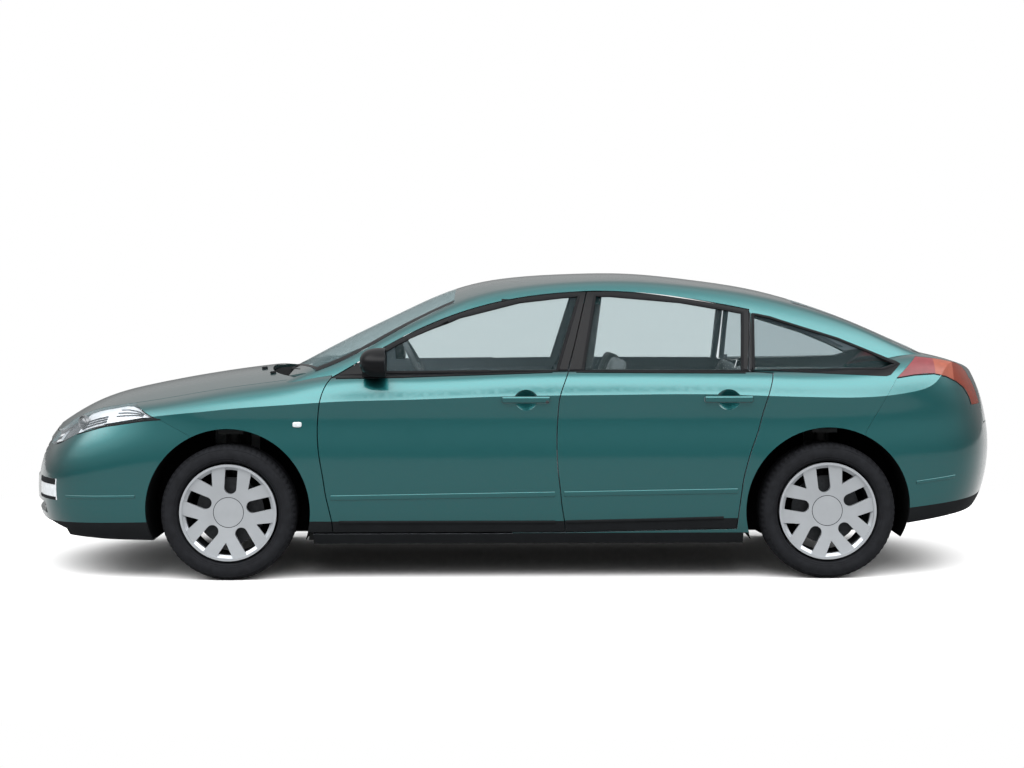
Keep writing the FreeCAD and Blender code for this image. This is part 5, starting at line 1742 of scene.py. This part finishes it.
@dataclass
class Studio:
    """The pale floor, the soft light and the camera."""

    camera_y: float = -11.505
    camera_z: float = 1.48
    pitch: float = 2.87
    roll: float = 0.16
    focal_pixels: float = 2207.0
    frame_pixels: float = 1024.0
    sensor: float = 36.0
    farthest_seen: float = 200.0
    floor_half: float = 40.0
    floor_drop: float = 0.0005
    floor_grey: float = 0.8
    floor_glow: float = 0.30
    floor_fade: Point = (3.0, 4.6)
    sky_power: float = 5.6
    sky_steps: tuple[Point, ...] = (
        (0.0, 0.05), (0.5, 0.04), (0.60, 0.10), (0.70, 0.28), (0.80, 1.0), (0.92, 0.95), (1.0, 0.28))
    far_steps: tuple[Point, ...] = (
        (0.0, 0.05), (0.5, 0.035), (0.6, 0.08), (0.8, 0.12), (0.9, 0.16), (1.0, 0.28))
    far_fade: Point = (-0.15, 0.35)
    lamp_aim: tuple[float, float, float] = (0.0, 0.0, 0.6)
    lamp_power: float = 60.0
    lamps: tuple[tuple[str, tuple[float, float, float], Point], ...] = (
        ("front_lamp", (-6.5, -5.0, 4.0), (3.0, 3.0)), ("rear_lamp", (6.5, 4.0, 4.0), (4.0, 3.0)))

    def camera(self) -> None:
        """Sets the camera at the viewing angle of the photograph."""
        data = bpy.data.cameras.new("camera")
        data.sensor_width = self.sensor
        data.lens = self.focal_pixels * self.sensor / self.frame_pixels
        data.clip_end = self.farthest_seen
        camera = linked("camera", data)
        camera.location = (0, self.camera_y, self.camera_z)
        camera.rotation_mode = "XYZ"
        camera.rotation_euler = (math.radians(90 - self.pitch), 0, 0)
        camera.rotation_euler.rotate_axis("Z", math.radians(-self.roll))
        bpy.context.scene.camera = camera

    def ramp(self, tree: Tree, height: Socket,
             steps: Sequence[Point]) -> Socket:
        """Greys that change with the height in the sky.

        Args:
            tree: The node tree.
            height: The socket of the height, from 0 to 1.
            steps: Places along the height with their greys.

        Returns:
            The socket of the grey.
        """
        ramp = tree.nodes.new("ShaderNodeValToRGB")
        ramp.color_ramp.interpolation = "EASE"
        elements = ramp.color_ramp.elements
        for place, _ in steps[1:-1]:
            elements.new(place)
        for element, (place, grey) in zip(elements, steps):
            element.position = place
            element.color = (grey, grey, grey, 1)
        tree.links.new(height, ramp.inputs["Fac"])
        return ramp.outputs["Color"]

    def fade(self, tree: Tree, value: Socket, ends: Point) -> Socket:
        """A smooth change from 0 to 1 between two values.

        Args:
            tree: The node tree.
            value: The socket of the value.
            ends: The values at 0 and at 1.

        Returns:
            The socket of the result.
        """
        inputs = {"Value": value, "From Min": ends[0], "From Max": ends[1]}
        return added(tree, "MapRange", inputs, interpolation_type="SMOOTHSTEP")["Result"]

    def sky(self) -> None:
        """White to the eye; bright over the camera's side and dim beyond the car for light and gloss."""
        world = bpy.data.worlds.new("surround")
        bpy.context.scene.world = world
        world.use_nodes = True
        tree = world.node_tree
        tree.nodes.clear()
        path = added(tree, "LightPath", {})
        seen = math_node(tree, "MAXIMUM", path["Is Camera Ray"], path["Is Transmission Ray"])
        way = coordinates(tree, "Generated")
        height = math_node(tree, "MULTIPLY_ADD", way["Z"], 0.5, 0.5)
        both = {"Factor": self.fade(tree, way["Y"], self.far_fade), "A": self.ramp(tree, height, self.sky_steps),
                "B": self.ramp(tree, height, self.far_steps)}
        colour = added(tree, "Mix", both, data_type="RGBA")["Result"]
        light = added(tree, "Background", {"Color": colour, "Strength": self.sky_power})["Background"]
        white = added(tree, "Background", {"Color": (1, 1, 1, 1)})["Background"]
        added(tree, "OutputWorld", {"Surface": blend(tree, seen, light, white)})

    def lamp(self, name: str, place: Vector, aim: Vector, size: Point) -> None:
        """One soft lamp.

        Args:
            name: The lamp's name.
            place: Where it hangs.
            aim: What it points at.
            size: Its width and length.
        """
        data = bpy.data.lights.new(name, "AREA")
        data.shape = "RECTANGLE"
        data.size, data.size_y = size
        data.energy = self.lamp_power
        lamp = linked(name, data)
        lamp.location = place
        lamp.rotation_mode = "QUATERNION"
        lamp.rotation_quaternion = (aim - place).to_track_quat("-Z", "Y")
        lamp.visible_glossy = False

    def floor_surface(self, tree: Tree) -> Socket:
        """Adds the nodes of the floor, which turns white to the eye farther out.

        Args:
            tree: The material's node tree.

        Returns:
            The socket that gives the finished surface.
        """
        reach = added(tree, "VectorMath", {0: place_on(tree)}, operation="LENGTH")["Value"]
        seen = added(tree, "LightPath", {})["Is Camera Ray"]
        grey = math_node(tree, "MULTIPLY_ADD", seen, self.floor_grey - self.floor_glow, self.floor_glow)
        matt = added(tree, "BsdfDiffuse", {"Color": grey})["BSDF"]
        white = added(tree, "Emission", {})["Emission"]
        share = math_node(tree, "MULTIPLY", self.fade(tree, reach, self.floor_fade), seen)
        return blend(tree, share, matt, white)

    def floor(self) -> None:
        """A pale floor that fades into the white surround."""
        half = self.floor_half
        mesh = bpy.data.meshes.new("floor")
        corners = [(-half, -half, 0), (half, -half, 0), (half, half, 0), (-half, half, 0)]
        mesh.from_pydata(corners, [], [(0, 1, 2, 3)])
        floor = linked("floor", mesh)
        floor.location.z = CAD_BOX[0].z - self.floor_drop
        mesh.materials.append(made_once("studio_floor", self.floor_surface))

    def build(self) -> None:
        """Builds the whole studio."""
        self.camera()
        self.sky()
        self.floor()
        for name, place, size in self.lamps:
            self.lamp(name, Vector(place), Vector(self.lamp_aim), size)
        bpy.context.scene.view_settings.view_transform = "Standard"


def main() -> None:
    """Dresses the car, piece by piece."""
    logging.basicConfig(level=logging.INFO, format="%(name)s: %(message)s")
    Panels().dress()
    for part in (RoadWheels(), Windows(), SideTrim(), Lamps(), Cabin(), NoseTrim(), Studio()):
        part.build()
        log.info("%s done", type(part).__name__)


if __name__ == "__main__":
    main()
